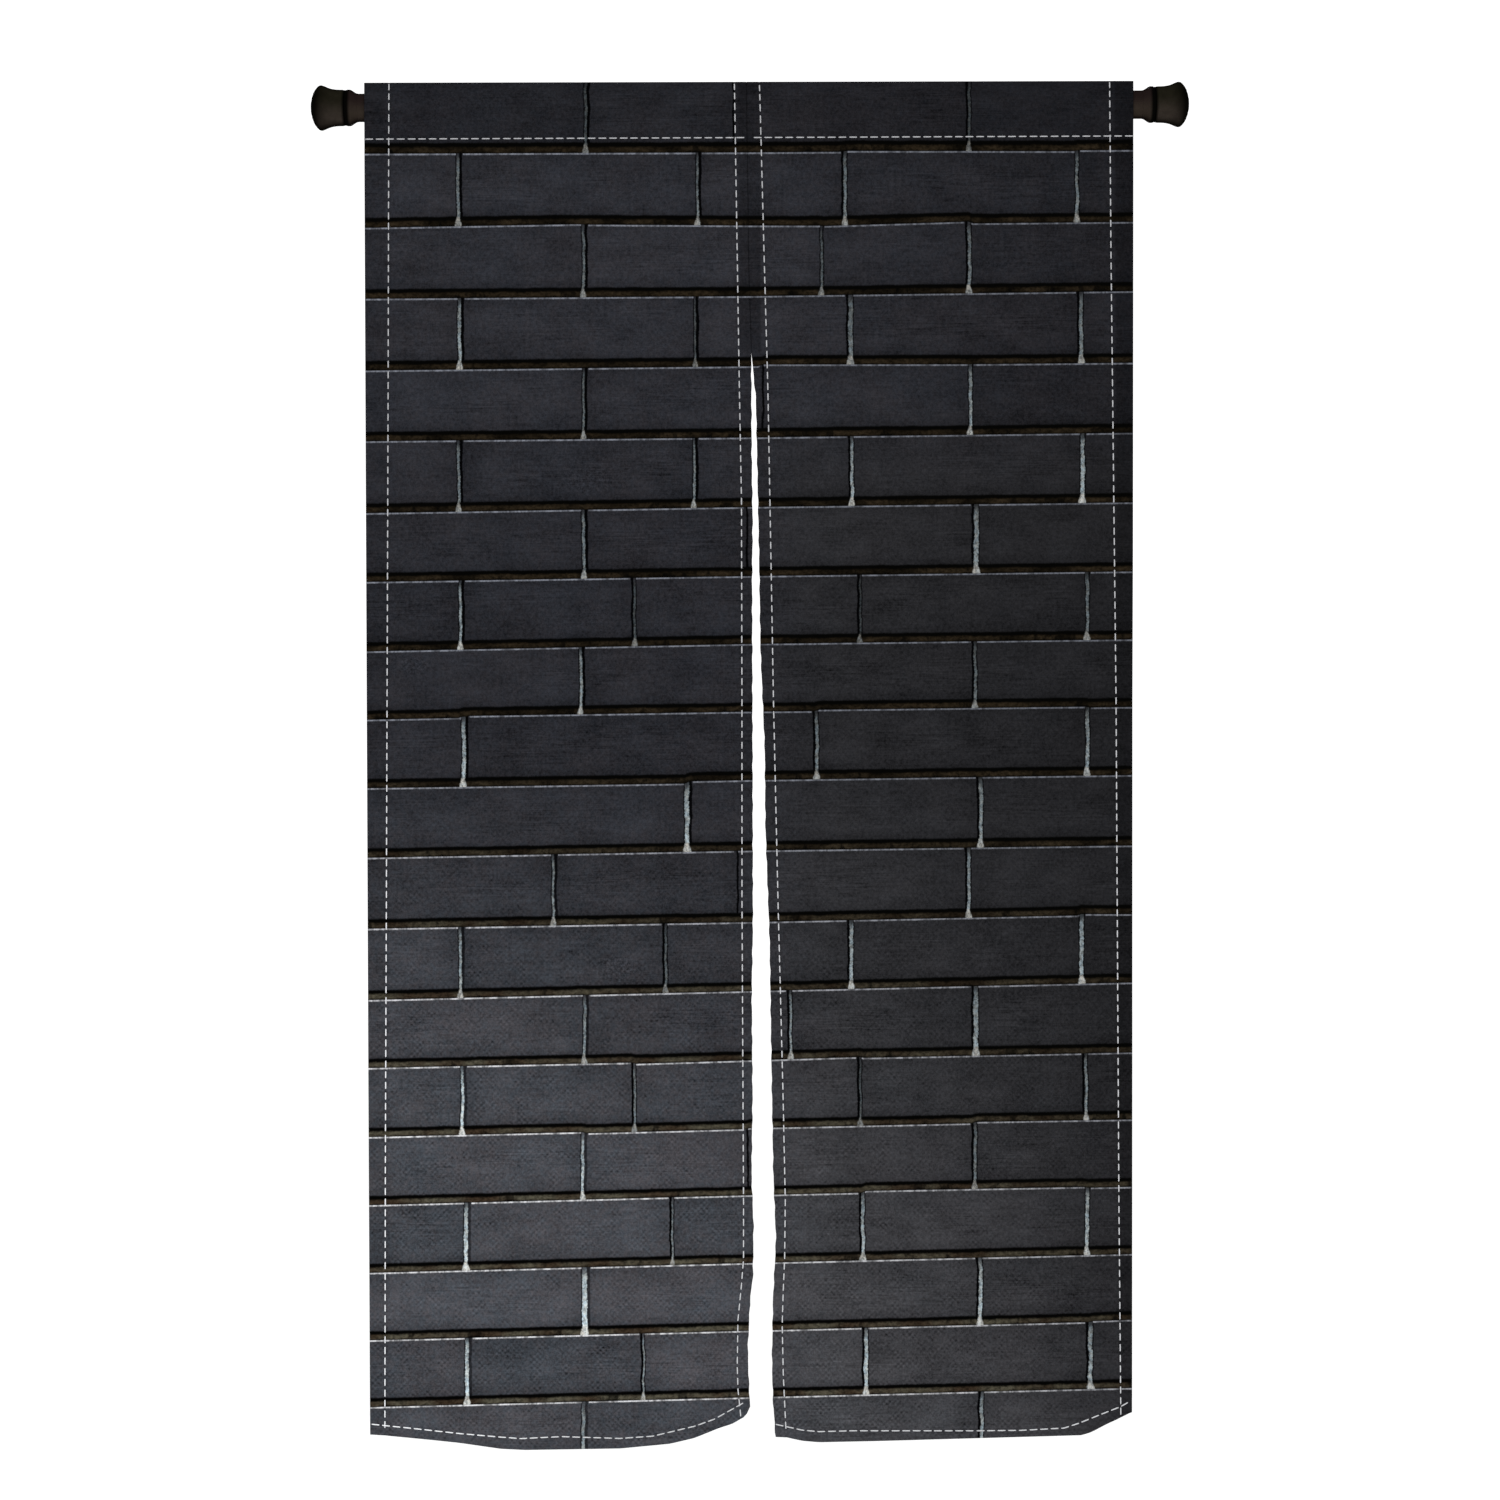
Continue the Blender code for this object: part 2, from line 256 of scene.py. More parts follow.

# The printed wall, as a chart: the height of the pale top arris of each course at the left,
# the middle and the right of the curtain, and the upright joints of each course.
CHART_REACH = 0.414
Arris = namedtuple("Arris", "left middle right")
COURSES = (
    Arris(0.036, 0.036, 0.036),
    Arris(-0.0514, -0.0517, -0.0508),
    Arris(-0.1330, -0.1326, -0.1305),
    Arris(-0.2120, -0.2109, -0.2072),
    Arris(-0.2915, -0.2886, -0.2865),
    Arris(-0.3698, -0.3675, -0.3641),
    Arris(-0.4494, -0.4445, -0.4412),
    Arris(-0.5256, -0.5210, -0.5177),
    Arris(-0.6025, -0.5962, -0.5930),
    Arris(-0.6782, -0.6716, -0.6678),
    Arris(-0.7535, -0.7470, -0.7432),
    Arris(-0.8311, -0.8251, -0.8213),
    Arris(-0.9097, -0.9043, -0.8977),
    Arris(-0.9887, -0.9807, -0.9731),
    Arris(-1.0640, -1.0572, -1.0506),
    Arris(-1.1405, -1.1325, -1.1254),
    Arris(-1.2159, -1.2068, -1.1994),
    Arris(-1.2909, -1.2819, -1.2739),
    Arris(-1.3656, -1.3569, -1.3481),
    Arris(-1.4396, -1.4306, -1.4222),
    Arris(-1.5150, -1.5060, -1.4970),
)
COURSE_HEIGHT = 0.0765
MOST_JOINTS = 4

# The few bricks whose top edge plainly stands askew, by 1.5 mm at an end or 2 mm from end to end:
# how many millimetres below its course's line the edge is at its left and at its right end
Askew = namedtuple("Askew", "course start end left right")
ASKEW_BRICKS = (
    Askew(1, 0.105, 0.362, -1.0, 1.0),
    Askew(2, -0.430, -0.185, 0.5, -2.5),
    Askew(2, -0.185, 0.079, -2.0, 1.0),
    Askew(2, 0.079, 0.2425, 1.5, -2.0),
    Askew(4, 0.013, 0.243, -2.0, 0.0),
    Askew(9, -0.320, 0.071, -2.0, 0.0),
    Askew(9, 0.071, 0.371, -1.5, -1.0),
    Askew(10, -0.430, -0.073, 0.5, 2.5),
    Askew(12, 0.3635, 0.430, -1.5, 0.0),
    Askew(14, -0.132, 0.1175, 1.5, -1.0),
    Askew(15, -0.190, -0.007, 1.5, 1.0),
    Askew(15, 0.2445, 0.430, -1.5, -0.5),
    Askew(16, 0.120, 0.3685, -2.0, -1.0),
    Askew(18, 0.3715, 0.430, -1.0, -1.5),
)

# The joints of each course, from the top one down. A joint's width is that of its pale mortar in
# millimetres. It is negative where its left side lies in shadow, positive where its right side does,
# and 0 for a joint that is only a dark crack. Its light is how pale the mortar is.
Joint = namedtuple("Joint", "x width light")
JOINTS = (
    (Joint(-0.1820, 2.5, 0.28), Joint(-0.0180, 0.0, 0.0), Joint(0.2430, -2.5, 0.26)),
    (Joint(-0.3240, 3.0, 0.42), Joint(-0.0585, 2.0, 0.42),
     Joint(0.1050, -3.0, 0.42), Joint(0.3620, 3.0, 0.43)),
    (Joint(-0.1850, 2.5, 0.38), Joint(0.0790, 2.0, 0.33), Joint(0.2425, -3.0, 0.41)),
    (Joint(-0.3225, 3.0, 0.55), Joint(-0.0615, 1.5, 0.31),
     Joint(0.1105, -4.5, 0.41), Joint(0.3660, -3.5, 0.44)),
    (Joint(-0.1860, 2.0, 0.38), Joint(0.0130, 0.0, 0.0), Joint(0.2430, 3.0, 0.51)),
    (Joint(-0.3245, 2.5, 0.45), Joint(-0.0635, 2.0, 0.46),
     Joint(0.1115, -3.0, 0.55), Joint(0.3670, 4.0, 0.58)),
    (Joint(-0.1860, 2.5, 0.45), Joint(-0.0050, 0.0, 0.0), Joint(0.2485, -4.5, 0.49)),
    (Joint(-0.3230, 2.5, 0.56), Joint(-0.1300, -2.0, 0.30),
     Joint(0.1200, -1.5, 0.24), Joint(0.3715, 3.0, 0.41)),
    (Joint(-0.1900, 2.5, 0.52), Joint(0.2470, -2.5, 0.37)),
    (Joint(-0.3200, 3.5, 0.63), Joint(0.0710, -3.0, 0.44), Joint(0.3710, 3.5, 0.52)),
    (Joint(-0.0730, 4.5, 0.62), Joint(0.2525, -3.5, 0.50)),
    (Joint(-0.2215, 2.0, 0.50), Joint(-0.0170, 0.0, 0.0), Joint(0.2390, -3.0, 0.52)),
    (Joint(-0.3245, 2.5, 0.60), Joint(-0.0970, -2.0, 0.35),
     Joint(0.1085, -3.5, 0.59), Joint(0.3635, 4.0, 0.58)),
    (Joint(-0.1875, 2.5, 0.53), Joint(0.0410, -2.0, 0.53), Joint(0.2460, -4.5, 0.53)),
    (Joint(-0.3230, 2.5, 0.80), Joint(-0.1320, -2.0, 0.46),
     Joint(0.1175, -1.5, 0.31), Joint(0.3680, -2.5, 0.49)),
    (Joint(-0.1900, 2.5, 0.72), Joint(-0.0070, 0.0, 0.0), Joint(0.2445, -2.5, 0.43)),
    (Joint(-0.3195, 3.5, 0.79), Joint(-0.0910, -1.5, 0.48),
     Joint(0.1200, -3.0, 0.62), Joint(0.3685, 3.5, 0.61)),
    (Joint(-0.1885, 5.0, 0.81), Joint(0.2500, -3.5, 0.68)),
    (Joint(-0.3190, 3.5, 0.82), Joint(-0.1235, -1.5, 0.55),
     Joint(0.1230, -3.5, 0.71), Joint(0.3715, -4.0, 0.58)),
    (Joint(-0.1905, 3.0, 0.58), Joint(0.2505, -3.0, 0.59)),
)
NO_JOINT = Joint(-0.5, 0.0, 0.0)  # far away, where a course has fewer joints than the most

# Sizes in the printed wall
ARRIS_WIDTH = 0.0017
BED = 0.0105  # from the foot of a brick's face to the next arris
WIDEST_JOINT = 0.012  # the chart's widths are packed into a colour that spans this
LEAST_MORTAR = 0.0006  # a joint narrower than this is a crack
DARK_SIDE = 0.0014  # half the width of a joint's shaded side
DARK_RIGHT = 0.0003  # wider by this where the right side is shaded, and narrower by the next one
NARROWER_DARK = 0.0010  # right of the middle of the curtain
THIN_SIDE = 0.0009  # how far beside the mortar the thin line on its other side lies
JOINT_FOOT_SHIFT = 0.0004
JOINT_FLARE = 0.0020
BESIDE_SHADOW = 0.0006  # how far past a joint's shadow the arris begins again
DOT_PITCH = 0.0064  # of the coarse dots that the weave leaves in the print
WEAVE_PITCH = 0.0013

# Places where a brick's face is crazed
Scuff = namedtuple("Scuff", "x height width")
SCUFFS = (Scuff(-0.155, -0.955, 0.030), Scuff(-0.178, -0.414, 0.032), Scuff(-0.375, -0.618, 0.020))

FACE_LIGHT = 1.46  # how bright a white cloth would look under these lights


def set_camera():
    camera = bpy.data.cameras.new("camera")
    camera.lens = LENS
    camera.sensor_width = SENSOR
    camera.clip_end = 60.0
    obj = put_in_scene("camera", camera)
    obj.location = (VIEW_CENTRE[0], -VIEW_DISTANCE, VIEW_CENTRE[1])
    obj.rotation_euler = (radians(90), CAMERA_ROLL, 0.0)
    bpy.context.scene.camera = obj


class Ink:
    """A socket of a material. An operator on it adds the Math node that works the sum out."""

    def __init__(self, tree, socket=None):
        self.tree = tree
        self.socket = socket

    def node(self, kind, settings=None, sockets=None, out=0):
        """Any other node: its type, its settings, then the values or links of its sockets."""
        node = self.tree.nodes.new(kind)
        for name, value in (settings or {}).items():
            if name == "stops":
                set_stops(node.color_ramp, value)
            else:
                setattr(node, name, value)
        for name, value in (sockets or {}).items():
            if isinstance(value, Ink):
                self.tree.links.new(value.socket, node.inputs[name])
            else:
                node.inputs[name].default_value = value
        return Ink(self.tree, node.outputs[out])

    def math(self, operation, *values):
        return self.node("ShaderNodeMath", {"operation": operation}, dict(enumerate(values)))

    def __add__(self, other):
        return self.math("ADD", self, other)

    __radd__ = __add__

    def __sub__(self, other):
        return self.math("SUBTRACT", self, other)

    def __rsub__(self, other):
        return self.math("SUBTRACT", other, self)

    def __mul__(self, other):
        return self.math("MULTIPLY", self, other)

    __rmul__ = __mul__

    def __truediv__(self, other):
        return self.math("DIVIDE", self, other)

    def __gt__(self, other):
        return self.math("GREATER_THAN", self, other)

    def __lt__(self, other):
        return self.math("LESS_THAN", self, other)

    def __abs__(self):
        return self.math("ABSOLUTE", self)

    def floor(self):
        return self.math("FLOOR", self)

    def power(self, exponent):
        return self.math("POWER", self, exponent)

    def most(self, other):
        return self.math("MAXIMUM", self, other)

    def rise(self, low, high):
        """0 below low, 1 above high, and smooth between them."""
        return self.node(
            "ShaderNodeMapRange",
            {"interpolation_type": "SMOOTHSTEP"},
            {"Value": self, "From Min": low, "From Max": high},
        )

    def wave(self, pitch):
        """A sine wave, from -1 to 1."""
        return self.math("SINE", self * (2 * pi / pitch))

    def within(self, half, soft):
        """1 where the value is less than half away from 0, fading out over soft."""
        return 1 - abs(self).rise(half - soft / 2, half + soft / 2)

    def split(self):
        """The three parts of a vector."""
        node = self.tree.nodes.new("ShaderNodeSeparateXYZ")
        self.tree.links.new(self.socket, node.inputs[0])
        return [Ink(self.tree, output) for output in node.outputs]

    def join(self, x, y, z=0.0):
        return self.node("ShaderNodeCombineXYZ", None, {0: x, 1: y, 2: z})

    def mix(self, low, high):
        """Two colours, by this value as the share of the second."""
        return self.node("ShaderNodeMix", {"data_type": "RGBA"}, {0: self, 6: low, 7: high}, out=2)

    def mix_vector(self, low, high):
        return self.node(
            "ShaderNodeMix", {"data_type": "VECTOR"}, {0: self, 4: low, 5: high}, out=1
        )

    def scaled(self, x, y, z=1.0):
        return self.node(
            "ShaderNodeVectorMath", {"operation": "MULTIPLY"}, {0: self, 1: (x, y, z)}
        )

    def noise(self, scale, detail=2.0, rough=0.5, seed=0.0, size="2D"):
        """Soft noise over this vector, about 0 to 1. Each seed gives another one."""
        place = self.node(
            "ShaderNodeVectorMath",
            {"operation": "MULTIPLY_ADD"},
            {0: self, 1: (scale, scale, scale), 2: (seed * 3.1, seed * 1.7, seed * 2.3)},
        )
        return self.node(
            "ShaderNodeTexNoise",
            {"noise_dimensions": size},
            {"Vector": place, "Scale": 1.0, "Detail": detail, "Roughness": rough},
        )

    def tint(self, colour, level):
        """A colour made lighter or darker by a value."""
        return self.node(
            "ShaderNodeMix",
            {"data_type": "RGBA", "blend_type": "MULTIPLY"},
            {0: 1.0, 6: colour, 7: self.join(level, level, level)},
            out=2,
        )

    def bump(self, height, distance, strength=1.0):
        return self.node(
            "ShaderNodeBump", None, {"Height": height, "Distance": distance, "Strength": strength}
        )


def set_stops(ramp, stops):
    """Puts a ramp's stops, each a place and a colour, held level up to the next."""
    ramp.interpolation = "CONSTANT"
    while len(ramp.elements) < len(stops):
        ramp.elements.new(1.0)
    for element, (place, colour) in zip(ramp.elements, stops):
        element.position = place
        element.color = colour


def tone(red, green, blue):
    """A colour as it should look in the picture, in steps of 0 to 255."""
    linear = [((value / 255 + 0.055) / 1.055) ** 2.4 for value in (red, green, blue)]
    return (*(value / FACE_LIGHT for value in linear), 1.0)


def new_material(name, roughness, specular, sheen=0.0):
    """A Principled material, and an Ink to build its nodes with."""
    material = bpy.data.materials.new(name)
    material.use_nodes = True
    tree = material.node_tree
    shader = tree.nodes["Principled BSDF"]
    shader.inputs["Roughness"].default_value = roughness
    shader.inputs["Specular IOR Level"].default_value = specular
    shader.inputs["Sheen Weight"].default_value = sheen
    shader.inputs["Sheen Roughness"].default_value = 0.5
    return material, Ink(tree)


def feed(material, **values):
    """Links worked-out values to the material's shader, as base_color=ink and so on."""
    tree = material.node_tree
    shader = tree.nodes["Principled BSDF"]
    for name, value in values.items():
        tree.links.new(value.socket, shader.inputs[name.replace("_", " ").title()])


def joint_slots():
    """The joints of each course in order, as the stops of one ramp for each place in it."""
    slots = [[] for _ in range(MOST_JOINTS)]
    for course, joints in enumerate(JOINTS):
        missing = MOST_JOINTS - len(joints)
        for slot, joint in zip(slots, (*joints, *[NO_JOINT] * missing)):
            width = joint.width / 1000 / WIDEST_JOINT
            colour = (joint.x + 0.5, joint.light, width + 0.5, 1.0)
            slot.append((course / len(JOINTS), colour))
    return slots


def nearest_joint(x, course):
    """How far x is past the nearest joint of its course, that joint's light and its width, and
    how many joints lie to the left."""
    courses = len(JOINTS)
    row = (course.math("WRAP", course, courses, 0.0) + 0.5) / courses
    best = None
    left = None
    for stops in joint_slots():
        chart = row.node("ShaderNodeValToRGB", {"stops": stops}, {"Fac": row})
        joint_x, light, width = chart.split()
        off = x - joint_x + 0.5
        here = off.join(off, light, width)
        passed = off > 0.0
        if best is None:
            best = here
            best_off = off
            left = passed
        else:
            closer = abs(off) < abs(best_off)
            best = closer.mix_vector(best, here)
            best_off = best.split()[0]
            left = left + passed
    off, light, width = best.split()
    return off, light, (width - 0.5) * WIDEST_JOINT, left


# What the parts of the print share: places on the cloth, in a course and beside its nearest joint,
# how far the paler colour low on the curtain has come up, and two chance values for each brick
Wall = namedtuple(
    "Wall",
    "ink cloth x height low dusk course fall from_top from_next wide_wave rough_wave off light "
    "width shift warmth",
)


def wall_places(ink):
    """Reads the print's chart at every place on the cloth."""
    uv = ink.node("ShaderNodeUVMap", {"uv_map": "print"})
    x, fallen, _ = uv.split()
    cloth = ink.node("ShaderNodeUVMap", {"uv_map": "cloth"})
    _, height, _ = cloth.split()
    wide_wave = cloth.noise(45, 1, seed=1.0) - 0.5
    rough_wave = cloth.noise(420, 2, seed=2.0) - 0.5
    course = fallen.floor()
    fall = fallen - course
    off, light, width, left = nearest_joint(x, course)
    low = -1 * height
    dusk = ((low - 0.66) / (0.47 + x.rise(-0.40, 0.50) * 0.66)).rise(0.0, 1.0)
    dusk = dusk * (1 - 0.5 * x.rise(0.25, 0.42))
    brick = ink.node(
        "ShaderNodeTexWhiteNoise", {"noise_dimensions": "2D"},
        {"Vector": ink.join(course, left)}, out=1,
    )
    shift, warmth, _ = brick.split()
    return Wall(
        ink, cloth, x, height, low, dusk, course, fall,
        from_top=fall * COURSE_HEIGHT, from_next=(1 - fall) * COURSE_HEIGHT,
        wide_wave=wide_wave, rough_wave=rough_wave, off=off + wide_wave * 0.0030,
        light=light, width=width, shift=shift, warmth=warmth,
    )


def darker_strips_and_seam_shade(x, low):
    """How much darker the cloth is made in the strips where it is doubled: at both sides of the
    seam, over the right hem and a little over the left; and the painted shade of the groove along
    the seam's own line."""
    sewn = 1 - low.rise(-SLIT_TOP - 0.004, -SLIT_TOP + 0.004)
    strips = (x + 0.001).within(0.012, 0.003) * sewn * (0.20 + 0.14 * low.rise(0.08, 0.14))
    strips = strips + x.rise(0.402, 0.406) * 0.32 + (1 - x.rise(-0.406, -0.402)) * 0.10
    seam_x = SEAM[0].x
    for upper, lower in zip(SEAM, SEAM[1:]):
        seam_x = low.rise(-upper.height, -lower.height) * (lower.x - upper.x) + seam_x
    # painted shade of the groove where the two panels meet, along the seam's line above the slit
    return strips + (x - seam_x).within(0.0006, 0.0014) * sewn * 0.26


def face_colour(wall):
    """The bricks' faces before their grain: cool or warm grey, plainer on the right."""
    cool = wall.cloth.noise(14, 3, 0.6, seed=4.0)
    tint = wall.cloth.noise(140, 2, 0.8, seed=22.0)
    hue = 0.55 + (cool - 0.5) * 0.9 + (wall.warmth - 0.5) * 0.15
    hue = hue + (tint - 0.5) * 1.2 + wall.x * 0.2
    day = hue.rise(0.0, 1.0).mix(tone(45, 47, 53), tone(48, 47, 51))
    lit = hue.rise(0.0, 1.0).mix(tone(70, 75, 82), tone(77, 75, 79))
    plain = wall.dusk.mix(tone(47, 47, 49), tone(75, 75, 78))
    right = wall.x.rise(-0.05, 0.10) * wall.low.rise(0.30, 0.45)
    return (right * 0.7).mix(wall.dusk.mix(day, lit), plain)


def brick_faces(wall):
    """Slate to olive faces, mottled and grained, with fine drag lines across the middle."""
    ink, cloth, x, height, low, dusk = wall[:6]
    mottle = cloth.scaled(0.7, 1.2, 1).noise(30, 3, 0.65, seed=3.0)
    grain = cloth.noise(230, 2, 1.0, seed=5.0)
    fine = cloth.scaled(20, 500, 1).noise(1, 3, 0.75, seed=6.0)
    band = (wall.fall - 0.42).within(0.26, 0.3)
    patch = cloth.scaled(9, 26, 1).noise(1, 1, seed=7.0).rise(0.35, 0.65)
    drag = (fine - 0.5) * (0.25 + 0.75 * band * patch)
    dots = x.wave(DOT_PITCH) * height.wave(DOT_PITCH)
    dots = dots * (low.rise(0.10, 1.0) * 0.16 + dusk * 0.24)
    dots = dots * cloth.noise(60, 2, 0.8, seed=20.0).rise(0.35, 0.75)
    # painted highlights: along a fold across the lower left, 1.325 m down, and fainter across the
    # whole width, 1.40 m down
    painted_highlights = (low - 1.325).within(0.02, 0.05) * (1 - x.rise(-0.05, 0.10)) * 0.20
    painted_highlights = painted_highlights + (low - 1.40).within(0.012, 0.03) * 0.12
    level = 1 + (wall.shift - 0.5) * 0.22 + (mottle - 0.5) * 0.90 + (grain - 0.5) * 1.50
    level = level + drag * 1.5 + dots + painted_highlights * dusk
    side = x.rise(-0.12, 0.50) * 0.38
    level = level * (1 - side * (1 - dusk * 0.30)) * (0.71 + 0.29 * low.rise(0.0, 0.09))
    level = level * (1 - 0.08 * low.rise(0.30, 0.45) * (1 - dusk)) * (1 - darker_strips_and_seam_shade(x, low))
    level = level * (0.80 + 0.20 * wall.from_next.rise(BED - 0.001, BED + 0.014))
    level = level * (0.90 + 0.10 * abs(wall.off).rise(0.004, 0.030))
    level = level * (0.90 + 0.10 * wall.from_top.rise(0.001, 0.012))
    cracks = cloth.scaled(1, 1.8, 1).noise(210, 2, 0.8, seed=21.0).within(0.02, 0.06)
    for spot in SCUFFS:
        off_x = (x - spot.x) / spot.width
        off_z = (height - spot.height) / (spot.width * 0.6)
        here = 1 - (off_x * off_x + off_z * off_z).rise(0.2, 1.0)
        level = level * (1 - here * cracks * 0.5) * (1 + here * (grain - 0.5) * 0.9)
    hem = ink.node("ShaderNodeAttribute", {"attribute_name": "hem"}, out=2)
    return ink.tint(face_colour(wall), level * (1 - hem * 0.07))


def with_mortar_beds(wall, face):
    """The bed of mortar under each course: black shadow, then brown mortar, then the arris."""
    ink, cloth = wall[:2]
    ragged_next = wall.from_next + wall.rough_wave * 0.0010 + wall.wide_wave * 0.0012
    crumb = cloth.scaled(1, 1.6, 1).noise(190, 3, 0.65, seed=8.0).rise(0.2, 0.8)
    earth = cloth.noise(22, 2, seed=23.0).rise(0.3, 0.7)
    brown_dusk = earth.mix(tone(66, 54, 42), tone(92, 88, 74))
    brown_day = earth.mix(tone(23, 19, 13), tone(47, 39, 28))
    mortar = ink.tint(wall.dusk.mix(brown_day, brown_dusk), 0.35 + crumb * 0.90)
    worn = cloth.scaled(1, 0.5, 1).noise(38, 4, 0.7, seed=25.0)
    in_mortar = (ragged_next - 0.0020 - worn * 0.0030).within(0.0024, 0.0030)
    in_mortar = in_mortar * (1 - 0.7 * worn.rise(0.56, 0.68))
    bed = in_mortar.mix(tone(5, 5, 4), mortar)
    return ragged_next.rise(BED - 0.0012, BED + 0.0012).mix(bed, face)


def with_upright_joints(wall, colour, shadow):
    """Upright joints: a lumpy pale strip, paler downwards, with a shadow beside it and a flared
    foot. The shadow's half width is handed in."""
    ink, cloth = wall[:2]
    ragged = wall.off + wall.rough_wave * 0.0014
    half = abs(wall.width) / 2
    shaded_right = wall.width > 0.0
    toward = shaded_right * 2 - 1
    mortared = half > LEAST_MORTAR / 2
    above_bed = wall.from_next.rise(BED - 0.0020, BED)
    dark = (ragged - toward * (half + shadow)).within(shadow, 0.0010)
    dark = dark * (1 - shaded_right * wall.dusk * 0.35)
    thin = (ragged + toward * (half + THIN_SIDE)).within(0.0006, 0.0008) * 0.9
    crack = ragged.within(0.0012, 0.0014) * (1 - mortared)
    dark = (dark.most(thin) * mortared).most(crack) * above_bed
    colour = dark.mix(colour, tone(3, 3, 5))

    lumps = cloth.scaled(1, 0.6, 1).noise(280, 3, 0.9, seed=9.0).rise(0.32, 0.68)
    cold = cloth.noise(160, 2, 0.8, seed=24.0).rise(0.35, 0.65)
    pale_hue = cold.mix((0.92, 1.0, 0.99, 1.0), (0.79, 0.98, 1.09, 1.0))
    strength = wall.light.power(2.2) * (1.10 / FACE_LIGHT)
    strength = strength * (0.45 + 0.95 * lumps) * (0.60 + 0.60 * wall.fall)
    start = wall.from_top.rise(0.001, 0.012)
    pale = 1 - (abs(ragged) - half * (0.85 + 0.30 * lumps)).rise(-0.0006, 0.0006)
    pale = pale * mortared * above_bed * (0.15 + 0.85 * start)
    colour = pale.mix(colour, ink.tint(pale_hue, strength))

    flare = (1 - wall.from_next / BED).rise(0.10, 0.90) * JOINT_FLARE
    foot = 1 - (abs(ragged + JOINT_FOOT_SHIFT) - half - flare).rise(-0.0008, 0.0008)
    foot = foot * (1 - above_bed) * mortared
    foot_level = (wall.light * 0.75 + 0.20).power(2.2) * (0.45 + 1.0 * lumps) * (1.1 / FACE_LIGHT)
    foot_hue = cold.mix((1.0, 0.98, 0.90, 1.0), (0.94, 1.0, 1.0, 1.0))
    return foot.mix(colour, ink.tint(foot_hue, foot_level))


def with_arrises(wall, colour, shadow):
    """The pale arris at the top of each brick, broken where a joint and its shadow meet it."""
    line = wall.from_top - ARRIS_WIDTH / 2 + wall.rough_wave * 0.0008
    arris = line.within(ARRIS_WIDTH / 2, 0.0009) * (wall.from_top < COURSE_HEIGHT / 2)
    arris = arris * (abs(wall.course) > 0.5)
    toward = (wall.width > 0.0) * 2 - 1
    gap = abs(wall.width) / 2 + shadow + BESIDE_SHADOW
    unbroken = abs(wall.off - toward * shadow) - gap
    breaks = wall.cloth.scaled(1, 0.2, 1).noise(120, 3, 0.7, seed=10.0)
    full = wall.dusk.mix(tone(130, 134, 144), tone(236, 236, 240))
    faint = wall.dusk.mix(tone(76, 78, 84), tone(120, 120, 122))
    pale = breaks.rise(0.30, 0.70).mix(faint, full)
    pale = wall.ink.tint(pale, 1.12 - 0.34 * wall.x.rise(-0.30, 0.30))
    return (arris * unbroken.rise(0.0, 0.0008)).mix(colour, pale)


def brick_print(ink):
    """The colour of the printed wall, and where each place lies on the cloth."""
    wall = wall_places(ink)
    wider = DARK_RIGHT - NARROWER_DARK * wall.x.rise(0.0, 0.05)
    shadow = DARK_SIDE + (wall.width > 0.0) * wider
    colour = with_mortar_beds(wall, brick_faces(wall))
    colour = with_upright_joints(wall, colour, shadow)
    return with_arrises(wall, colour, shadow), wall.cloth


def weave_height(cloth):
    """The height of a plain weave with slubs, from 0 to 1."""
    x, height, _ = cloth.split()
    wave_x = x.wave(WEAVE_PITCH)
    wave_z = height.wave(WEAVE_PITCH)
    slub_x = cloth.scaled(25, 800, 1).noise(1, 2, seed=11.0)
    slub_z = cloth.scaled(800, 25, 1).noise(1, 2, seed=12.0)
    return wave_x * wave_z * 0.25 + slub_x * 0.5 + slub_z * 0.5


def printed_cloth():
    material, ink = new_material("brick_printed_cloth", 0.92, 0.0)
    colour, cloth = brick_print(ink)
    weave = weave_height(cloth)
    colour = ink.tint(colour, 0.94 + weave * 0.12)
    rough = 0.84 + weave * 0.14
    feed(material, base_color=colour, roughness=rough, normal=ink.bump(weave, 0.00012, 0.6))
    return material


def cloth_reverse():
    """The unprinted side: greyed yarn with the wall showing faintly through."""
    material, ink = new_material("reverse_of_printed_cloth", 0.94, 0.04, sheen=0.04)
    colour, cloth = brick_print(ink)
    weave = weave_height(cloth)
    washed = ink.node(
        "ShaderNodeMix", {"data_type": "RGBA"}, {0: 0.62, 6: colour, 7: tone(112, 112, 114)}, out=2
    )
    colour = ink.tint(washed, 0.80 + weave * 0.40)
    feed(material, base_color=colour, roughness=0.86 + weave * 0.12,
         normal=ink.bump(weave, 0.00015, 0.8))
    return material


def sewing_thread():
    """Pale grey twisted thread, with painted light that makes it lighter low down, most of all at
    the left.
    """
    material, ink = new_material("pale_sewing_thread", 0.7, 0.15, sheen=0.10)
    cloth = ink.node("ShaderNodeUVMap", {"uv_map": "thread"})
    along, around, _ = cloth.split()
    ply = (along / THREAD_TWIST + around).wave(1.0) * 0.5 + 0.5
    fuzz = cloth.scaled(900, 6, 1).noise(1, 3, 0.7, seed=13.0)
    level = ply * 0.35 + fuzz * 0.65
    colour = level.rise(0.05, 0.85).mix(tone(152, 153, 156), tone(224, 225, 228))
    x, _, z = object_place(ink).split()
    # painted light: the thread is lighter low down, most of all at the left
    lit = (-1 * z).rise(0.3, 1.2) * (0.95 - 0.65 * x.rise(-0.40, -0.10))
    colour = ink.tint(colour, 1 + lit)
    feed(material, base_color=colour, roughness=0.55 + level * 0.3,
         normal=ink.bump(ply, 0.00012, 0.8))
    return material


def object_place(ink):
    return ink.node("ShaderNodeTexCoord", out=3)


def facing(ink):
    """Masks for the shade and light painted by the way a surface looks: 1 where it looks up, down or
    along the rod and 0 where it looks to the front or the back, and how far up it looks, from -1 to
    1."""
    normal = ink.node("ShaderNodeTexCoord", out=1)
    _, y, z = normal.split()
    return 1 - abs(y).rise(0.15, 0.72), z


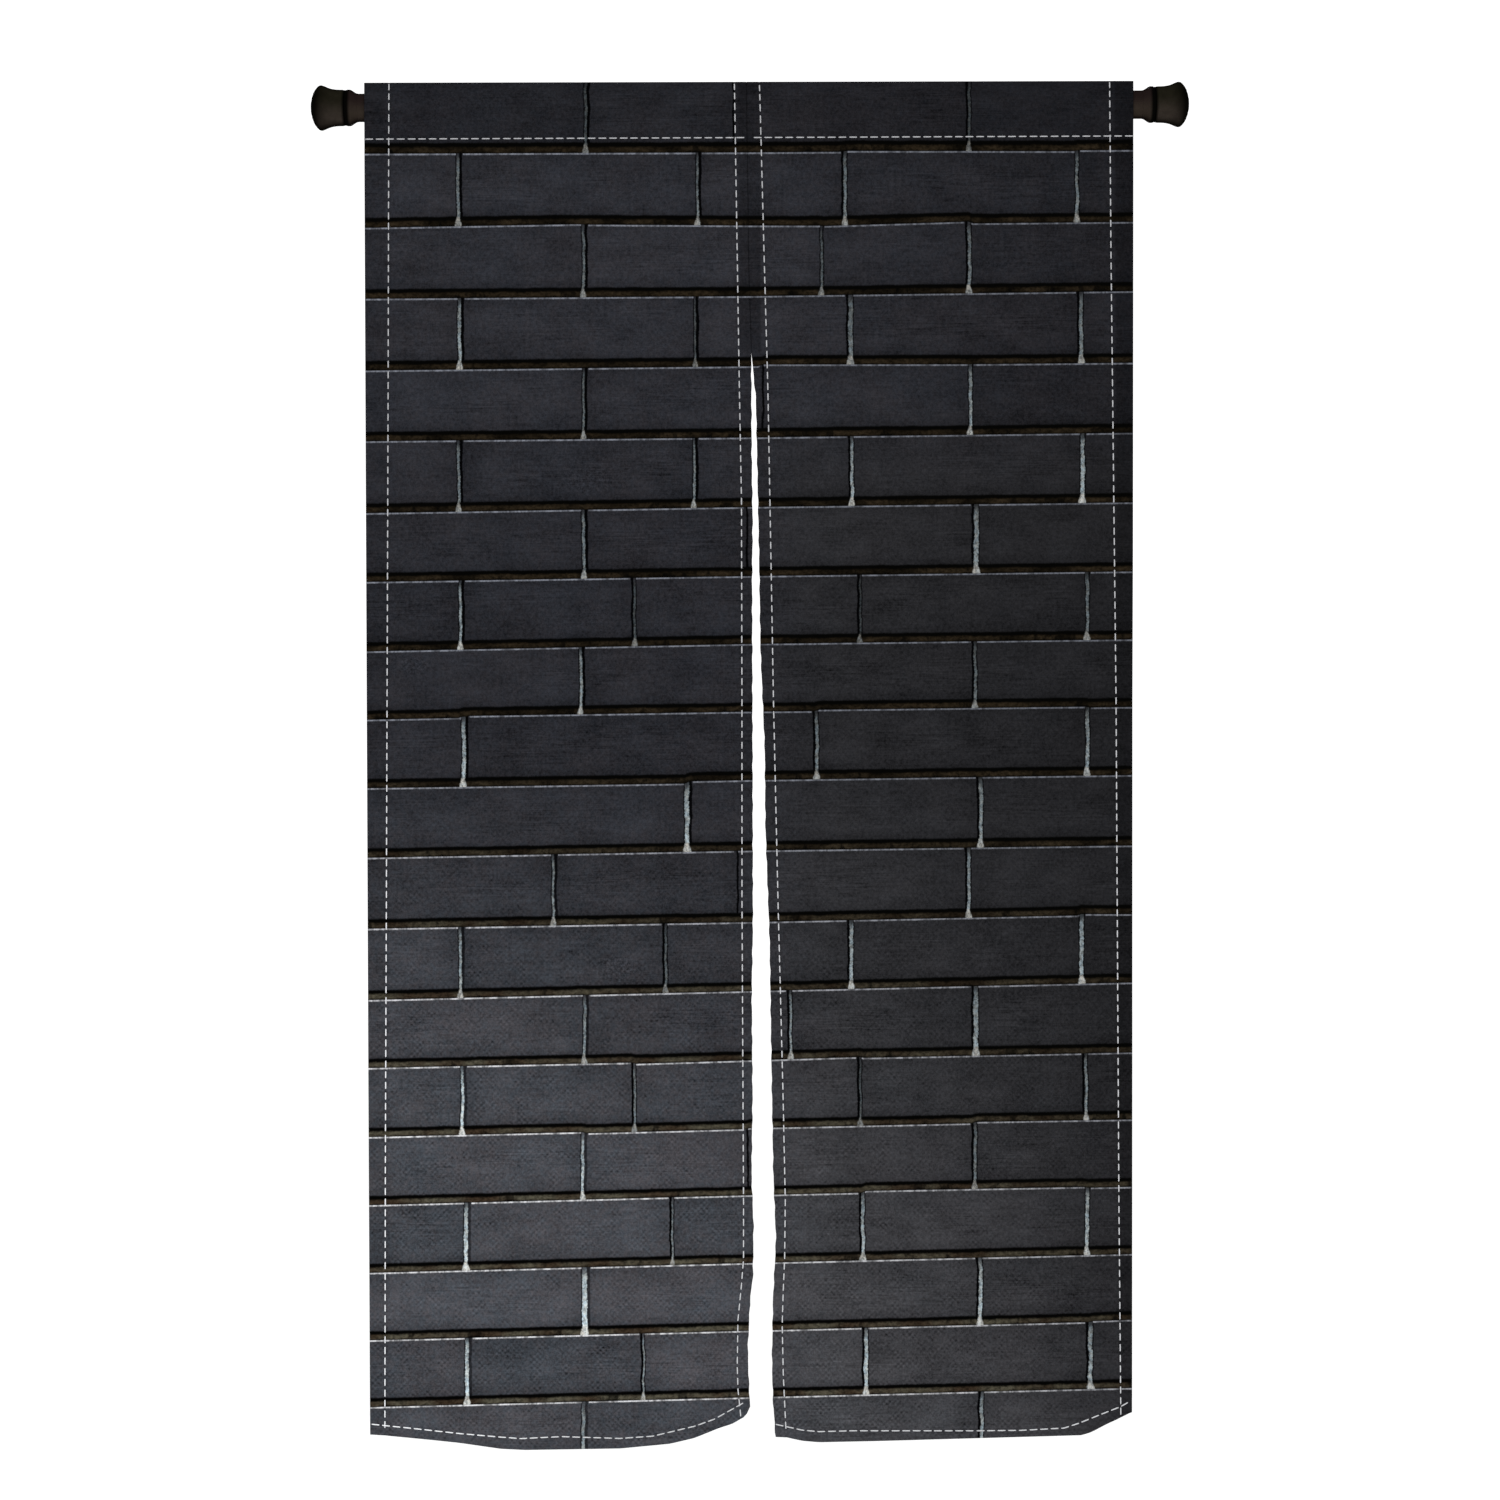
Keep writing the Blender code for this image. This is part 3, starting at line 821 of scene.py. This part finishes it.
def bronze_paint():
    """Dark brown bronze paint, lighter and redder in specks, with painted shade along its sides and
    where the collar's groove begins, and painted light from the floor on its underside."""
    material, ink = new_material("oil_rubbed_bronze_paint", 0.42, 0.0)
    place = object_place(ink)
    side, up = facing(ink)
    cloud = place.noise(90, 3, 0.7, seed=14.0, size="3D")
    speck = place.noise(900, 2, 0.6, seed=15.0, size="3D")
    brushed = place.scaled(40, 900, 900).noise(1, 2, seed=16.0, size="3D")
    # painted light from the floor: lighter where the surface looks down, darker where it looks up
    colour = up.rise(-0.6, 0.5).mix(tone(52, 45, 39), tone(34, 26, 25))
    colour = ink.tint(colour, 0.72 + cloud * 0.56)
    colour = (speck.rise(0.62, 0.75) * 0.30).mix(colour, tone(66, 50, 40))
    # painted shade along the sides, where the surface turns away from the front and the back
    colour = (side * 0.9).mix(colour, tone(13, 9, 8))
    x, _, _ = place.split()
    from_tip = SPAN / 2 - abs(x)
    # painted shade in the groove, fading out along the collar
    groove = 1 - from_tip.rise(*COLLAR_SHADE_FADES)
    colour = (groove * 0.98).mix(colour, tone(4, 4, 3))
    rough = 0.40 + cloud * 0.14 + brushed * 0.08
    feed(material, base_color=colour, roughness=rough,
         normal=ink.bump(speck + brushed, 0.00006, 0.5))
    return material


def foot_rubber():
    """Dark moulded rubber with a soft brown bloom, darker towards its tip, with painted shade along
    its sides and in its groove, and painted light from the floor on its underside.
    """
    material, ink = new_material("moulded_foot_rubber", 0.6, 0.0)
    place = object_place(ink)
    side, up = facing(ink)
    bloom = place.noise(110, 3, 0.7, seed=17.0, size="3D")
    pore = place.noise(1400, 2, 0.6, seed=18.0, size="3D")
    # painted light from the floor: lighter where the surface looks down, darker where it looks up
    colour = up.rise(-0.8, 0.4).mix(tone(51, 45, 40), tone(28, 26, 19))
    colour = ink.tint(colour, 0.58 + bloom)
    x, _, _ = place.split()
    from_tip = SPAN / 2 - abs(x)
    colour = (1 - from_tip.rise(0.004, 0.022)).mix(colour, ink.tint(colour, 0.14))
    # painted shade along the sides, where the surface turns away from the front and the back
    colour = (side * 0.92).mix(colour, tone(9, 8, 5))
    # painted shade in the groove, growing towards the collar
    groove = from_tip.rise(*FOOT_SHADE_GROWS)
    colour = (groove * 0.98).mix(colour, tone(4, 4, 3))
    rough = 0.5 + bloom * 0.2 + pore * 0.08
    feed(material, base_color=colour, roughness=rough, normal=ink.bump(pore, 0.00005, 0.6))
    return material


def white_floor():
    material, ink = new_material("white_studio_floor", 0.9, 0.1)
    place = object_place(ink)
    level = place.noise(3, 2, seed=19.0, size="3D")
    colour = level.mix((0.90, 0.90, 0.90, 1.0), (0.94, 0.94, 0.94, 1.0))
    feed(material, base_color=colour)
    return material


def side_at(places, height):
    """Where an edge or a line of stitching stands at each height."""
    return np.interp(-height, [-row.height for row in places], [row.x for row in places])


def slit_at(side, height):
    """Where a slit edge stands: its stiff fold wavers a little below the top of the slit."""
    waver = 0.0
    for part in SLIT_WAVERS:
        phase = SLIT_PHASE[side] * part.phases
        waver = waver + part.size * np.sin(height * 2 * pi / part.pitch + phase)
    free = np.clip((SLIT_TOP - height) / WAVER_GROWTH, 0.0, 1.0)
    inward = 1.0 if side == "left" else -1.0
    return side_at(EDGES[side]["slit"], height) + waver * free - inward * SEAM_BUTT / 2


def hem_at(places, x):
    """How low an edge or a line of stitching hangs at each place along the rod."""
    return np.interp(x, [row.x for row in places], [row.height for row in places])


def fold_depth(side, x, height):
    """How far the cloth hangs behind (+Y) the rod's plane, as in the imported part."""
    total = np.zeros(np.broadcast(x, height).shape)
    for fold in FOLDS:
        if fold.panel not in ("both", side):
            continue
        fallen = np.clip((fold.start - height) / (fold.start - LOWEST_HEM), 0.0, 1.0)
        grown = fallen * fallen * (3 - 2 * fallen)
        off = (x - fold.x - fold.drift * fallen) / fold.width
        total = total - fold.depth * grown * np.exp(-off * off)
    return total


def lengths_along(points):
    """How long a line is up to each of its points."""
    return np.concatenate([[0], np.cumsum(np.hypot(*np.diff(points, axis=0).T))])


def pocket_line():
    """The printed face over the rod, as points (y, z) from below the seam in front, up over the
    crease and down to the end of the flap behind, and the length along it at each point."""
    upper = acos((POCKET_FACE_RADIUS - CREASE_ROUND) / (CREASE_TOP - CREASE_ROUND))
    lower = pi - acos((POCKET_FACE_RADIUS - PROUD) / -POCKET_HEIGHT)
    around = np.linspace(lower, upper, POCKET_ARC_STEPS)
    front = [(-PROUD, POCKET_HEIGHT - BELOW_SEAM), (-PROUD, POCKET_HEIGHT)]
    for turn in around:
        front.append((-POCKET_FACE_RADIUS * sin(turn), POCKET_FACE_RADIUS * cos(turn)))
    for turn in np.linspace(upper, 0.0, CREASE_ARC_STEPS):
        front.append((-CREASE_ROUND * sin(turn), CREASE_TOP - CREASE_ROUND * (1 - cos(turn))))
    back = [(-y, z) for y, z in reversed(front[1:-1])]
    corners = np.array(front + back + [(PROUD, POCKET_HEIGHT - FLAP_BELOW_SEAM)])
    lengths = lengths_along(corners)
    even = np.arange(0, lengths[-1], POCKET_FINE_STEP)
    fine = np.stack([np.interp(even, lengths, corners[:, axis]) for axis in (0, 1)], axis=1)
    reach = POCKET_SMOOTHING
    spread = np.exp(-np.linspace(-2, 2, 2 * reach + 1) ** 2)
    padded = np.pad(fine, ((reach, reach), (0, 0)), mode="edge")
    inner = slice(2 * reach, -2 * reach)
    for axis in (0, 1):
        smooth = np.convolve(padded[:, axis], spread / spread.sum(), mode="valid")
        fine[inner, axis] = smooth[inner]
    return fine, lengths_along(fine) + POCKET_HEIGHT - BELOW_SEAM


POCKET_LINE, POCKET_RUN = pocket_line()
POCKET_START = POCKET_RUN[0]
FLAP_END = POCKET_RUN[-1]
FLAP_SEAM = FLAP_END - FLAP_BELOW_SEAM
CREASE_RUN = (POCKET_HEIGHT + FLAP_SEAM) / 2


def cloth_face(side, x, run):
    """Points on the printed face and the directions out of it. The run is the height of the hung
    cloth, and carries on as a length up over the rod and down behind it. Places were measured in
    the rod's plane, so a point that hangs before or behind it moves along its line of sight."""
    height = np.minimum(run, POCKET_START)
    step = 0.001
    y = fold_depth(side, x, height) - PROUD
    slope_x = (fold_depth(side, x + step, height) - fold_depth(side, x - step, height)) / (2 * step)
    slope_z = (fold_depth(side, x, height) - fold_depth(side, x, height - step)) / step
    nearer = (VIEW_DISTANCE + y + PROUD) / VIEW_DISTANCE
    seen_x = VIEW_CENTRE[0] + (x - VIEW_CENTRE[0]) * nearer
    seen_height = VIEW_CENTRE[1] + (height - VIEW_CENTRE[1]) * nearer
    points = np.stack(np.broadcast_arrays(seen_x, y, seen_height), axis=-1)
    out = np.stack(np.broadcast_arrays(slope_x, -1.0, slope_z), axis=-1)
    over = run > POCKET_START
    if np.any(over):
        length = np.broadcast_to(run, over.shape)[over]
        near = 1.5 * POCKET_FINE_STEP
        for axis in (0, 1):
            points[over, axis + 1] = np.interp(length, POCKET_RUN, POCKET_LINE[:, axis])
        flat_x = np.broadcast_to(x, over.shape)[over]
        high = np.clip(points[over, 2] / CREASE_TOP, 0.0, 1.0) ** 3
        points[over, 2] += high * CREASE_TILT * flat_x
        nearer = (VIEW_DISTANCE + np.minimum(points[over, 1], 0.0)) / VIEW_DISTANCE
        points[over, 0] = VIEW_CENTRE[0] + (flat_x - VIEW_CENTRE[0]) * nearer
        dy = np.interp(length + near, POCKET_RUN, POCKET_LINE[:, 0])
        dy -= np.interp(length - near, POCKET_RUN, POCKET_LINE[:, 0])
        dz = np.interp(length + near, POCKET_RUN, POCKET_LINE[:, 1])
        dz -= np.interp(length - near, POCKET_RUN, POCKET_LINE[:, 1])
        out[over] = np.stack([np.zeros_like(dy), -dz, dy], axis=-1)
    return points, out / np.linalg.norm(out, axis=-1, keepdims=True)


def height_of(run):
    """The height at which a run along the cloth stands, for its edges and stitching."""
    return np.where(run > POCKET_START, np.interp(run, POCKET_RUN, POCKET_LINE[:, 1]), run)


# Columns over a hem, as a share of the way from the edge to its stitching and a step past that
HemColumn = namedtuple("HemColumn", "share step trough extra")
HEM_COLUMNS = (
    HemColumn(0.0, 0.0, 0.0, 1.0),
    HemColumn(0.0, 0.0003, 0.0, 1.0),
    HemColumn(0.0, 0.0010, 0.0, 1.0),
    HemColumn(0.35, 0.0, 0.0, 1.0),
    HemColumn(0.70, 0.0, 0.0, 1.0),
    HemColumn(1.0, -0.0018, 0.0, 1.0),
    HemColumn(1.0, 0.0, 1.0, 1.0),
    HemColumn(1.0, 0.0016, 0.0, 1.0),
    HemColumn(1.0, HEM_PAST_STITCH, 0.0, 1.0),
    HemColumn(1.0, HEM_PAST_STITCH + HEM_STEP, 0.0, 0.0),
)


def panel_rows(side, x_foot):
    """The runs of one column's rows, from the foot of the cloth to the end of the flap."""
    foot = hem_at(EDGES[side]["hem"], x_foot)
    stitch = hem_at(STITCHING[side]["hem"], x_foot)
    hem = [foot + (stitch - foot) * row.share + row.step for row in HEM_COLUMNS]
    hung = np.linspace(hem[-1], POCKET_START, HUNG_ROWS + 1)[1:]
    over = np.arange(POCKET_START + POCKET_STEP, FLAP_END - POCKET_STEP, POCKET_STEP)
    crease = CREASE_RUN + CREASE_STEP * np.arange(-CREASE_ROWS, CREASE_ROWS + 1)
    over = over[np.abs(over - CREASE_RUN) > CREASE_STEP * (CREASE_ROWS + 1.5)]
    end = [FLAP_END - before for before in FLAP_LAST_ROWS]
    return np.concatenate([hem, hung, np.sort(np.concatenate([over, crease])), end])


def panel_columns(side, height):
    """The columns' places at each height, from the outer edge to the slit."""
    edges = EDGES[side]
    lines = STITCHING[side]
    inward = 1.0 if side == "left" else -1.0
    outer = side_at(edges["outer"], height)
    slit = slit_at(side, height)
    outer_line = side_at(lines["outer"], height)
    slit_line = side_at(lines["slit"], height)
    first = []
    last = []
    for column in HEM_COLUMNS:
        first.append(outer + (outer_line - outer) * column.share + inward * column.step)
        last.append(slit + (slit_line - slit) * column.share - inward * column.step)
    start, end = first[-1], last[-1]
    shares = np.linspace(0, 1, FIELD_COLUMNS + 2)[1:-1]
    field = [start + (end - start) * share for share in shares]
    return np.stack(np.broadcast_arrays(*first, *field, *reversed(last)), axis=-1)


def panel_grid(side):
    """The place and the run along the cloth of every row and column of a panel."""
    foot_x = panel_columns(side, np.array(BELOW_ALL))
    run = np.stack([panel_rows(side, x) for x in foot_x], axis=1)
    x = np.empty_like(run)
    for column in range(run.shape[1]):
        x[:, column] = panel_columns(side, height_of(run[:, column]))[:, column]
    return x, run


def hem_layers(shape):
    """Which columns and rows lie in a hem, and where a line of stitching draws the cloth in."""
    in_column = np.zeros(shape[1])
    in_row = np.zeros(shape[0])
    trough = np.zeros(shape)
    for number, place in enumerate(HEM_COLUMNS):
        for column in (number, shape[1] - 1 - number):
            in_column[column] = place.extra
            trough[:, column] = place.trough
        trough[number] = np.maximum(trough[number], place.trough)
        in_row[number] = place.extra
    return in_column, in_row, trough


def rim_easing(shape):
    """The share of the thickness that is rounded off at the rim, and in the row next to it."""
    ease = np.zeros(shape)
    for number, share in ((0, EDGE_ROUND), (1, EDGE_ROUND * NEXT_ROUND)):
        for edge in (ease[number], ease[-1 - number], ease[:, number], ease[:, -1 - number]):
            edge[:] = np.maximum(edge, share)
    return ease


def panel_faces(side, shape):
    """The quads of a panel as three arrays: its face, its back and its rim."""
    rows, columns = shape
    total = rows * columns
    index = np.arange(total).reshape(rows, columns)
    quads = np.stack([index[:-1, :-1], index[:-1, 1:], index[1:, 1:], index[1:, :-1]], axis=-1)
    ring = np.concatenate([index[0], index[1:, -1], index[-1, -2::-1], index[-2:0:-1, 0]])
    after = np.roll(ring, -1)
    rim = np.stack([after, ring, ring + total, after + total], axis=-1)
    if side == "right":
        quads = quads[..., ::-1]
        rim = rim[:, ::-1]
    front = quads.reshape(-1, 4)
    return front, front[:, ::-1] + total, rim


def lay_print(mesh, faces, x, run, turned_side, turned_foot):
    """Where each corner lies on the cloth. On the back of a hem the cloth is turned over, so its
    printed side is a mirror of what lies past the edge."""
    rows, columns = x.shape
    corner = faces.reshape(-1) % (rows * columns)
    corner_x = x.reshape(-1)[corner]
    corner_run = run.reshape(-1)[corner]
    column_of = corner % columns
    row_of = corner // columns
    turned = np.repeat(turned_side, 4)
    edge_x = np.where(column_of < columns // 2, x[row_of, 0], x[row_of, -1])
    corner_x[turned] = 2 * edge_x[turned] - corner_x[turned]
    raised = np.repeat(turned_foot & ~turned_side, 4)
    corner_run[raised] = 2 * run[0, column_of[raised]] - corner_run[raised]
    add_map(mesh, "cloth", corner_x, corner_run)
    add_map(mesh, "print", corner_x, course_at(corner_x, corner_run))


def make_panel(side, face_material, reverse_material):
    """One panel of fine cloth: a single strip from the foot of the curtain up over the rod to the
    flap behind, with its hems as thicker borders whose inner edge is a step on the back."""
    x, run = panel_grid(side)
    in_column, in_row, trough = hem_layers(run.shape)
    flap = np.clip((run - FLAP_SEAM + FLAP_BEGINS) / FLAP_EASING, 0.0, 1.0)
    extra = in_column[None, :] * (1 - flap) + in_row[:, None]
    thick = (CLOTH + HEM_EXTRA * extra)[..., None]
    points, out = cloth_face(side, x, run)
    lifted = flap * in_column[None, :] * FLAP_RISE
    points = points + out * (lifted - trough * STITCH_TROUGH)[..., None]
    ease = rim_easing(run.shape)[..., None]
    face = points - out * thick * ease
    back = points - out * thick * (1 - ease)

    parts = panel_faces(side, run.shape)
    faces = np.concatenate(parts)
    verts = np.concatenate([face.reshape(-1, 3), back.reshape(-1, 3)])
    mesh = smooth_mesh("panel_" + side, verts.tolist(), faces.tolist(), face_material)
    mesh.materials.append(reverse_material)
    behind = slice(len(parts[0]), len(parts[0]) + len(parts[1]))
    turned_side = np.zeros(len(faces), bool)
    turned_foot = np.zeros(len(faces), bool)
    shape = [length - 1 for length in run.shape]
    side_hem = (in_column[:-1] + in_column[1:]) > 0
    foot_hem = (in_row[:-1] + in_row[1:]) > 0
    turned_side[behind] = np.broadcast_to(side_hem[None, :], shape).reshape(-1)
    turned_foot[behind] = np.broadcast_to(foot_hem[:, None], shape).reshape(-1)
    reverse = np.zeros(len(faces), np.int32)
    reverse[behind] = ~(turned_side | turned_foot)[behind]
    mesh.polygons.foreach_set("material_index", reverse)
    lay_print(mesh, faces, x, run, turned_side, turned_foot)
    hem = mesh.attributes.new("hem", "FLOAT", "POINT")
    hem.data.foreach_set("value", np.concatenate([(extra > 0).reshape(-1)] * 2).astype(np.float32))
    return put_in_scene("cloth_" + side, mesh)


def smooth_mesh(name, verts, faces, material):
    mesh = bpy.data.meshes.new(name)
    mesh.from_pydata(verts, [], faces)
    mesh.polygons.foreach_set("use_smooth", np.ones(len(faces), bool))
    mesh.materials.append(material)
    return mesh


def put_in_scene(name, data):
    """Adds an object of that name with a mesh, a light or a camera."""
    obj = bpy.data.objects.new(name, data)
    bpy.context.scene.collection.objects.link(obj)
    return obj


def add_map(mesh, name, across, along):
    layer = mesh.uv_layers.new(name=name, do_init=False)
    pairs = np.stack([across, along], axis=-1).astype(np.float32)
    layer.data.foreach_set("uv", pairs.reshape(-1))


def course_at(x, run):
    """The course that a place on the cloth is printed with, and how far down it, as one number."""
    heights = []
    for row in COURSES:
        left_slope = (row.middle - row.left) / CHART_REACH
        right_slope = (row.right - row.middle) / CHART_REACH
        heights.append(row.middle + x * np.where(x < 0, left_slope, right_slope))
    for brick in ASKEW_BRICKS:
        share = (x - brick.start) / (brick.end - brick.start)
        lower = (brick.left + (brick.right - brick.left) * share) / 1000
        heights[brick.course] -= np.where((share > 0) & (share < 1), lower, 0.0)
    # A quarter of its width higher, each arris lies where the photograph shows it
    heights = np.array(heights) + ARRIS_WIDTH / 4
    unseen = [heights[0] + COURSE_HEIGHT * number for number in (2, 1)]
    heights = np.concatenate([unseen, heights])
    below = (run[None, :] < heights).sum(axis=0)
    below = np.clip(below, 1, len(heights) - 1)
    across = np.arange(len(run))
    top = heights[below - 1, across]
    foot = heights[below, across]
    return below - len(unseen) - 1 + (top - run) / (top - foot)


def along_line(corners):
    """A line through (x, run) corners in short steps, and its length up to each as seen in front."""
    corners = np.array(corners)
    number = np.arange(len(corners))
    steps = np.linspace(0, number[-1], STEPS_ALONG_LINE * number[-1] + 1)
    points = np.column_stack([np.interp(steps, number, corners[:, axis]) for axis in (0, 1)])
    seen = np.column_stack([points[:, 0], height_of(points[:, 1])])
    return points, lengths_along(seen)


def stitch_lines(side):
    """The lines of stitching of one panel: which way each runs, its (x, run) corners, and how far
    along it the first stitch begins."""
    lines = STITCHING[side]
    edges = EDGES[side]
    made = []
    for name in ("outer", "slit"):
        rows = lines[name]
        over = [(rows[0].x, FLAP_END - FROM_FLAP_END), (rows[0].x, CREASE_RUN)]
        down = [(row.x, row.height) for row in rows[1:]]
        foot_x = rows[-1].x
        foot = hem_at(edges["hem"], foot_x)
        down = [corner for corner in down if corner[1] > foot + CLEAR_OF_FOOT]
        down.append((foot_x, foot + FROM_FOOT))
        _, behind_the_rod = along_line(over)
        first = (behind_the_rod[-1] + FIRST_STITCH[side][name]) % STITCH_PITCH
        made.append(("upright", over + down, first))
    hem = [(row.x, row.height) for row in lines["hem"]]
    made.append(("across", hem, FIRST_ACROSS))
    outer = side_at(edges["outer"], np.array(POCKET_HEIGHT))
    slit = side_at(edges["slit"], np.array(POCKET_HEIGHT))
    seam = [(float(outer), POCKET_HEIGHT), (float(slit), POCKET_HEIGHT)]
    made.append(("across", seam, FIRST_ACROSS))
    return made


def thread_dashes(side, points, first, length, behind):
    """Rings of points round each dash of one line of stitching, as an array of dashes, stations
    along the dash and sides, and the matching places for the thread's twist."""
    points, lengths = along_line(points)
    starts = np.arange(first, lengths[-1] - length * 0.6, STITCH_PITCH)
    rng = np.random.default_rng(int(abs(points[0, 0]) * 1e4) + len(points))
    jitter = rng.uniform(-STITCH_JITTER, STITCH_JITTER, (len(starts), 2))
    share = (1 - np.cos(np.linspace(0.0, pi, THREAD_STATIONS))) / 2
    at = starts[:, None] + jitter[:, :1] + (length + jitter[:, 1:]) * share
    at = np.clip(at, 0.0, lengths[-1])
    x = np.interp(at, lengths, points[:, 0])
    run = np.interp(at, lengths, points[:, 1])
    on_flap = behind and points[0, 1] == POCKET_HEIGHT
    on_back = behind and not on_flap
    if on_flap:
        run = np.full_like(run, FLAP_SEAM)
    centre, out = cloth_face(side, x, run)
    along = np.gradient(centre, axis=1)
    along /= np.linalg.norm(along, axis=-1, keepdims=True)
    across = np.cross(along, out)
    arch = np.sin(pi * share) ** DASH_SQUARENESS
    lift = THREAD_HEIGHT * (0.55 * arch - 0.30)
    if on_back:
        lift = -(CLOTH + HEM_EXTRA) - lift
    width = THREAD_WIDTH / 2 * (0.35 + 0.65 * arch)
    tall = THREAD_HEIGHT / 2 * (0.55 + 0.45 * arch)
    turn = np.arange(THREAD_SIDES) * 2 * pi / THREAD_SIDES
    up = lift[:, None] + tall[:, None] * np.sin(turn)
    aside = width[:, None] * np.cos(turn)
    ring = centre[:, :, None] + out[:, :, None] * up[..., None]
    ring = ring + across[:, :, None] * aside[..., None]
    if on_back:
        keep = run.mean(axis=1) < POCKET_START
        ring = ring[keep]
        at = at[keep]
    return ring, at


def make_stitches(side, material):
    """Every dash of one panel's running stitch, in front and behind, as one mesh."""
    verts = []
    faces = []
    marks = []
    for way, points, begin in stitch_lines(side):
        seen = STITCH_LENGTH[way]
        for behind in (False, True):
            first = begin + seen if behind else begin
            length = STITCH_PITCH - seen if behind else seen
            ring, at = thread_dashes(side, points, first, length, behind)
            for dash, places in zip(ring, at):
                base = len(verts)
                verts.extend(dash.reshape(-1, 3).tolist())
                for station in range(THREAD_STATIONS - 1):
                    for number in range(THREAD_SIDES):
                        near = base + station * THREAD_SIDES
                        one = near + number
                        two = near + (number + 1) % THREAD_SIDES
                        faces.append((one, two, two + THREAD_SIDES, one + THREAD_SIDES))
                        start, end = places[station], places[station + 1]
                        low, high = number / THREAD_SIDES, (number + 1) / THREAD_SIDES
                        marks.extend(((start, low), (start, high), (end, high), (end, low)))
                last = base + (THREAD_STATIONS - 1) * THREAD_SIDES
                faces.append(tuple(range(base + THREAD_SIDES - 1, base - 1, -1)))
                faces.append(tuple(range(last, last + THREAD_SIDES)))
                for place in (places[0], places[-1]):
                    marks.extend(((place, 0.5),) * THREAD_SIDES)
    mesh = smooth_mesh("stitches_" + side, verts, faces, material)
    marks = np.array(marks)
    add_map(mesh, "thread", marks[:, 0], marks[:, 1])
    return put_in_scene("stitches_" + side, mesh)


def pad_face():
    """The rings of a foot's outside, with the fine moulded circles on its face."""
    dome = np.array(PAD_RINGS[:DOME_RINGS])
    even = np.linspace(0.0, dome[-1, 0], DOME_STEPS)
    radii = np.unique(np.concatenate([dome[:, 0], even]))
    depths = np.interp(radii, dome[:, 0], dome[:, 1])
    for circle in MOULD_RINGS:
        off = (radii - circle) / MOULD_RING_WIDTH
        depths = depths - MOULD_RING_HEIGHT * np.exp(-off * off * 4)
    return [*zip(radii, depths), *PAD_RINGS[DOME_RINGS:]]


def make_turned(name, rings, end, material):
    """A turned piece on the rod's axis from (radius, depth) rings, closed into a solid. The end
    is -1 for the left end of the rod and 1 for the right one."""
    rings = np.array(rings)
    turn = np.arange(ROUND_STEPS) * 2 * pi / ROUND_STEPS
    hollow = rings[0, 0] > 0
    body = rings if hollow else rings[1:]
    x = np.repeat(end * (SPAN / 2 - body[:, 1]), ROUND_STEPS)
    y = (body[:, :1] * np.sin(turn)).reshape(-1)
    z = (body[:, :1] * np.cos(turn)).reshape(-1)
    verts = np.stack([x, y, z], axis=-1).tolist()
    count = len(body)
    faces = []
    for ring in range(count if hollow else count - 1):
        near = ring * ROUND_STEPS
        far = (ring + 1) % count * ROUND_STEPS
        for step in range(ROUND_STEPS):
            after = (step + 1) % ROUND_STEPS
            quad = (near + step, far + step, far + after, near + after)
            faces.append(quad if end > 0 else quad[::-1])
    if not hollow:
        last = (count - 1) * ROUND_STEPS
        for tip, start, forward in ((len(verts), 0, end > 0), (len(verts) + 1, last, end < 0)):
            depth = rings[0, 1] if start == 0 else body[-1, 1]
            verts.append((end * (SPAN / 2 - depth), 0.0, 0.0))
            for step in range(ROUND_STEPS):
                after = (step + 1) % ROUND_STEPS
                corners = (tip, start + step, start + after)
                faces.append(corners if forward else corners[::-1])
    return put_in_scene(name, smooth_mesh(name, verts, faces, material))


def make_rod_ends(rubber, paint):
    """Both feet and both collars."""
    bore = ROD_RADIUS + GAP
    foot = pad_face() + [(bore, PAD_RINGS[-1].depth), (bore, ROD_END_DEPTH - GAP)]
    collar = [(bore, COLLAR_RINGS[0].depth), *COLLAR_RINGS, (bore, COLLAR_RINGS[-1].depth)]
    for side, end in (("left", -1), ("right", 1)):
        made = (
            ("foot_", foot, rubber, "foot_rubber"),
            ("collar_", collar, paint, "rod_paint"),
        )
        for node, rings, material, slot in made:
            piece = make_turned("turned_" + node + side, rings, end, material)
            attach(piece, "root")
            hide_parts(node + side)


def shade_node(name, material):
    """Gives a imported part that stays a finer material."""
    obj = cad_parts[name]
    obj.data.materials.clear()
    obj.data.materials.append(material)


def make_studio():
    half = FLOOR_SIZE / 2
    corners = [(-half, -half), (half, -half), (half, half), (-half, half)]
    corners = [(x, y, FLOOR_HEIGHT) for x, y in corners]
    mesh = smooth_mesh("floor", corners, [(0, 1, 2, 3)], white_floor())
    put_in_scene("floor", mesh)

    for number, place in enumerate(SOFTBOX_PLACES):
        light = bpy.data.lights.new(f"softbox_{number}", "AREA")
        light.shape = "RECTANGLE"
        light.size, light.size_y = SOFTBOX_SIZE
        light.energy = SOFTBOX_POWER
        box = put_in_scene(f"softbox_{number}", light)
        box.location = place
        aim = Vector((0.0, 0.0, VIEW_CENTRE[1])) - Vector(place)
        box.rotation_euler = aim.to_track_quat("-Z", "Y").to_euler()

    world = bpy.data.worlds.new("studio")
    bpy.context.scene.world = world
    world.use_nodes = True
    background = world.node_tree.nodes["Background"]
    background.inputs["Color"].default_value = (1.0, 1.0, 1.0, 1.0)
    background.inputs["Strength"].default_value = DOME_STRENGTH
    bpy.context.scene.view_settings.view_transform = "Standard"
    bpy.context.scene.view_settings.look = "None"


def main():
    set_camera()
    make_studio()
    face = printed_cloth()
    reverse = cloth_reverse()
    thread = sewing_thread()
    for side in ("left", "right"):
        panel = make_panel(side, face, reverse)
        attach(panel, "root")
        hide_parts("panel_" + side)
        stitches = make_stitches(side, thread)
        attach(stitches, "root")
    paint = bronze_paint()
    make_rod_ends(foot_rubber(), paint)
    shade_node("rod_tube", paint)


main()
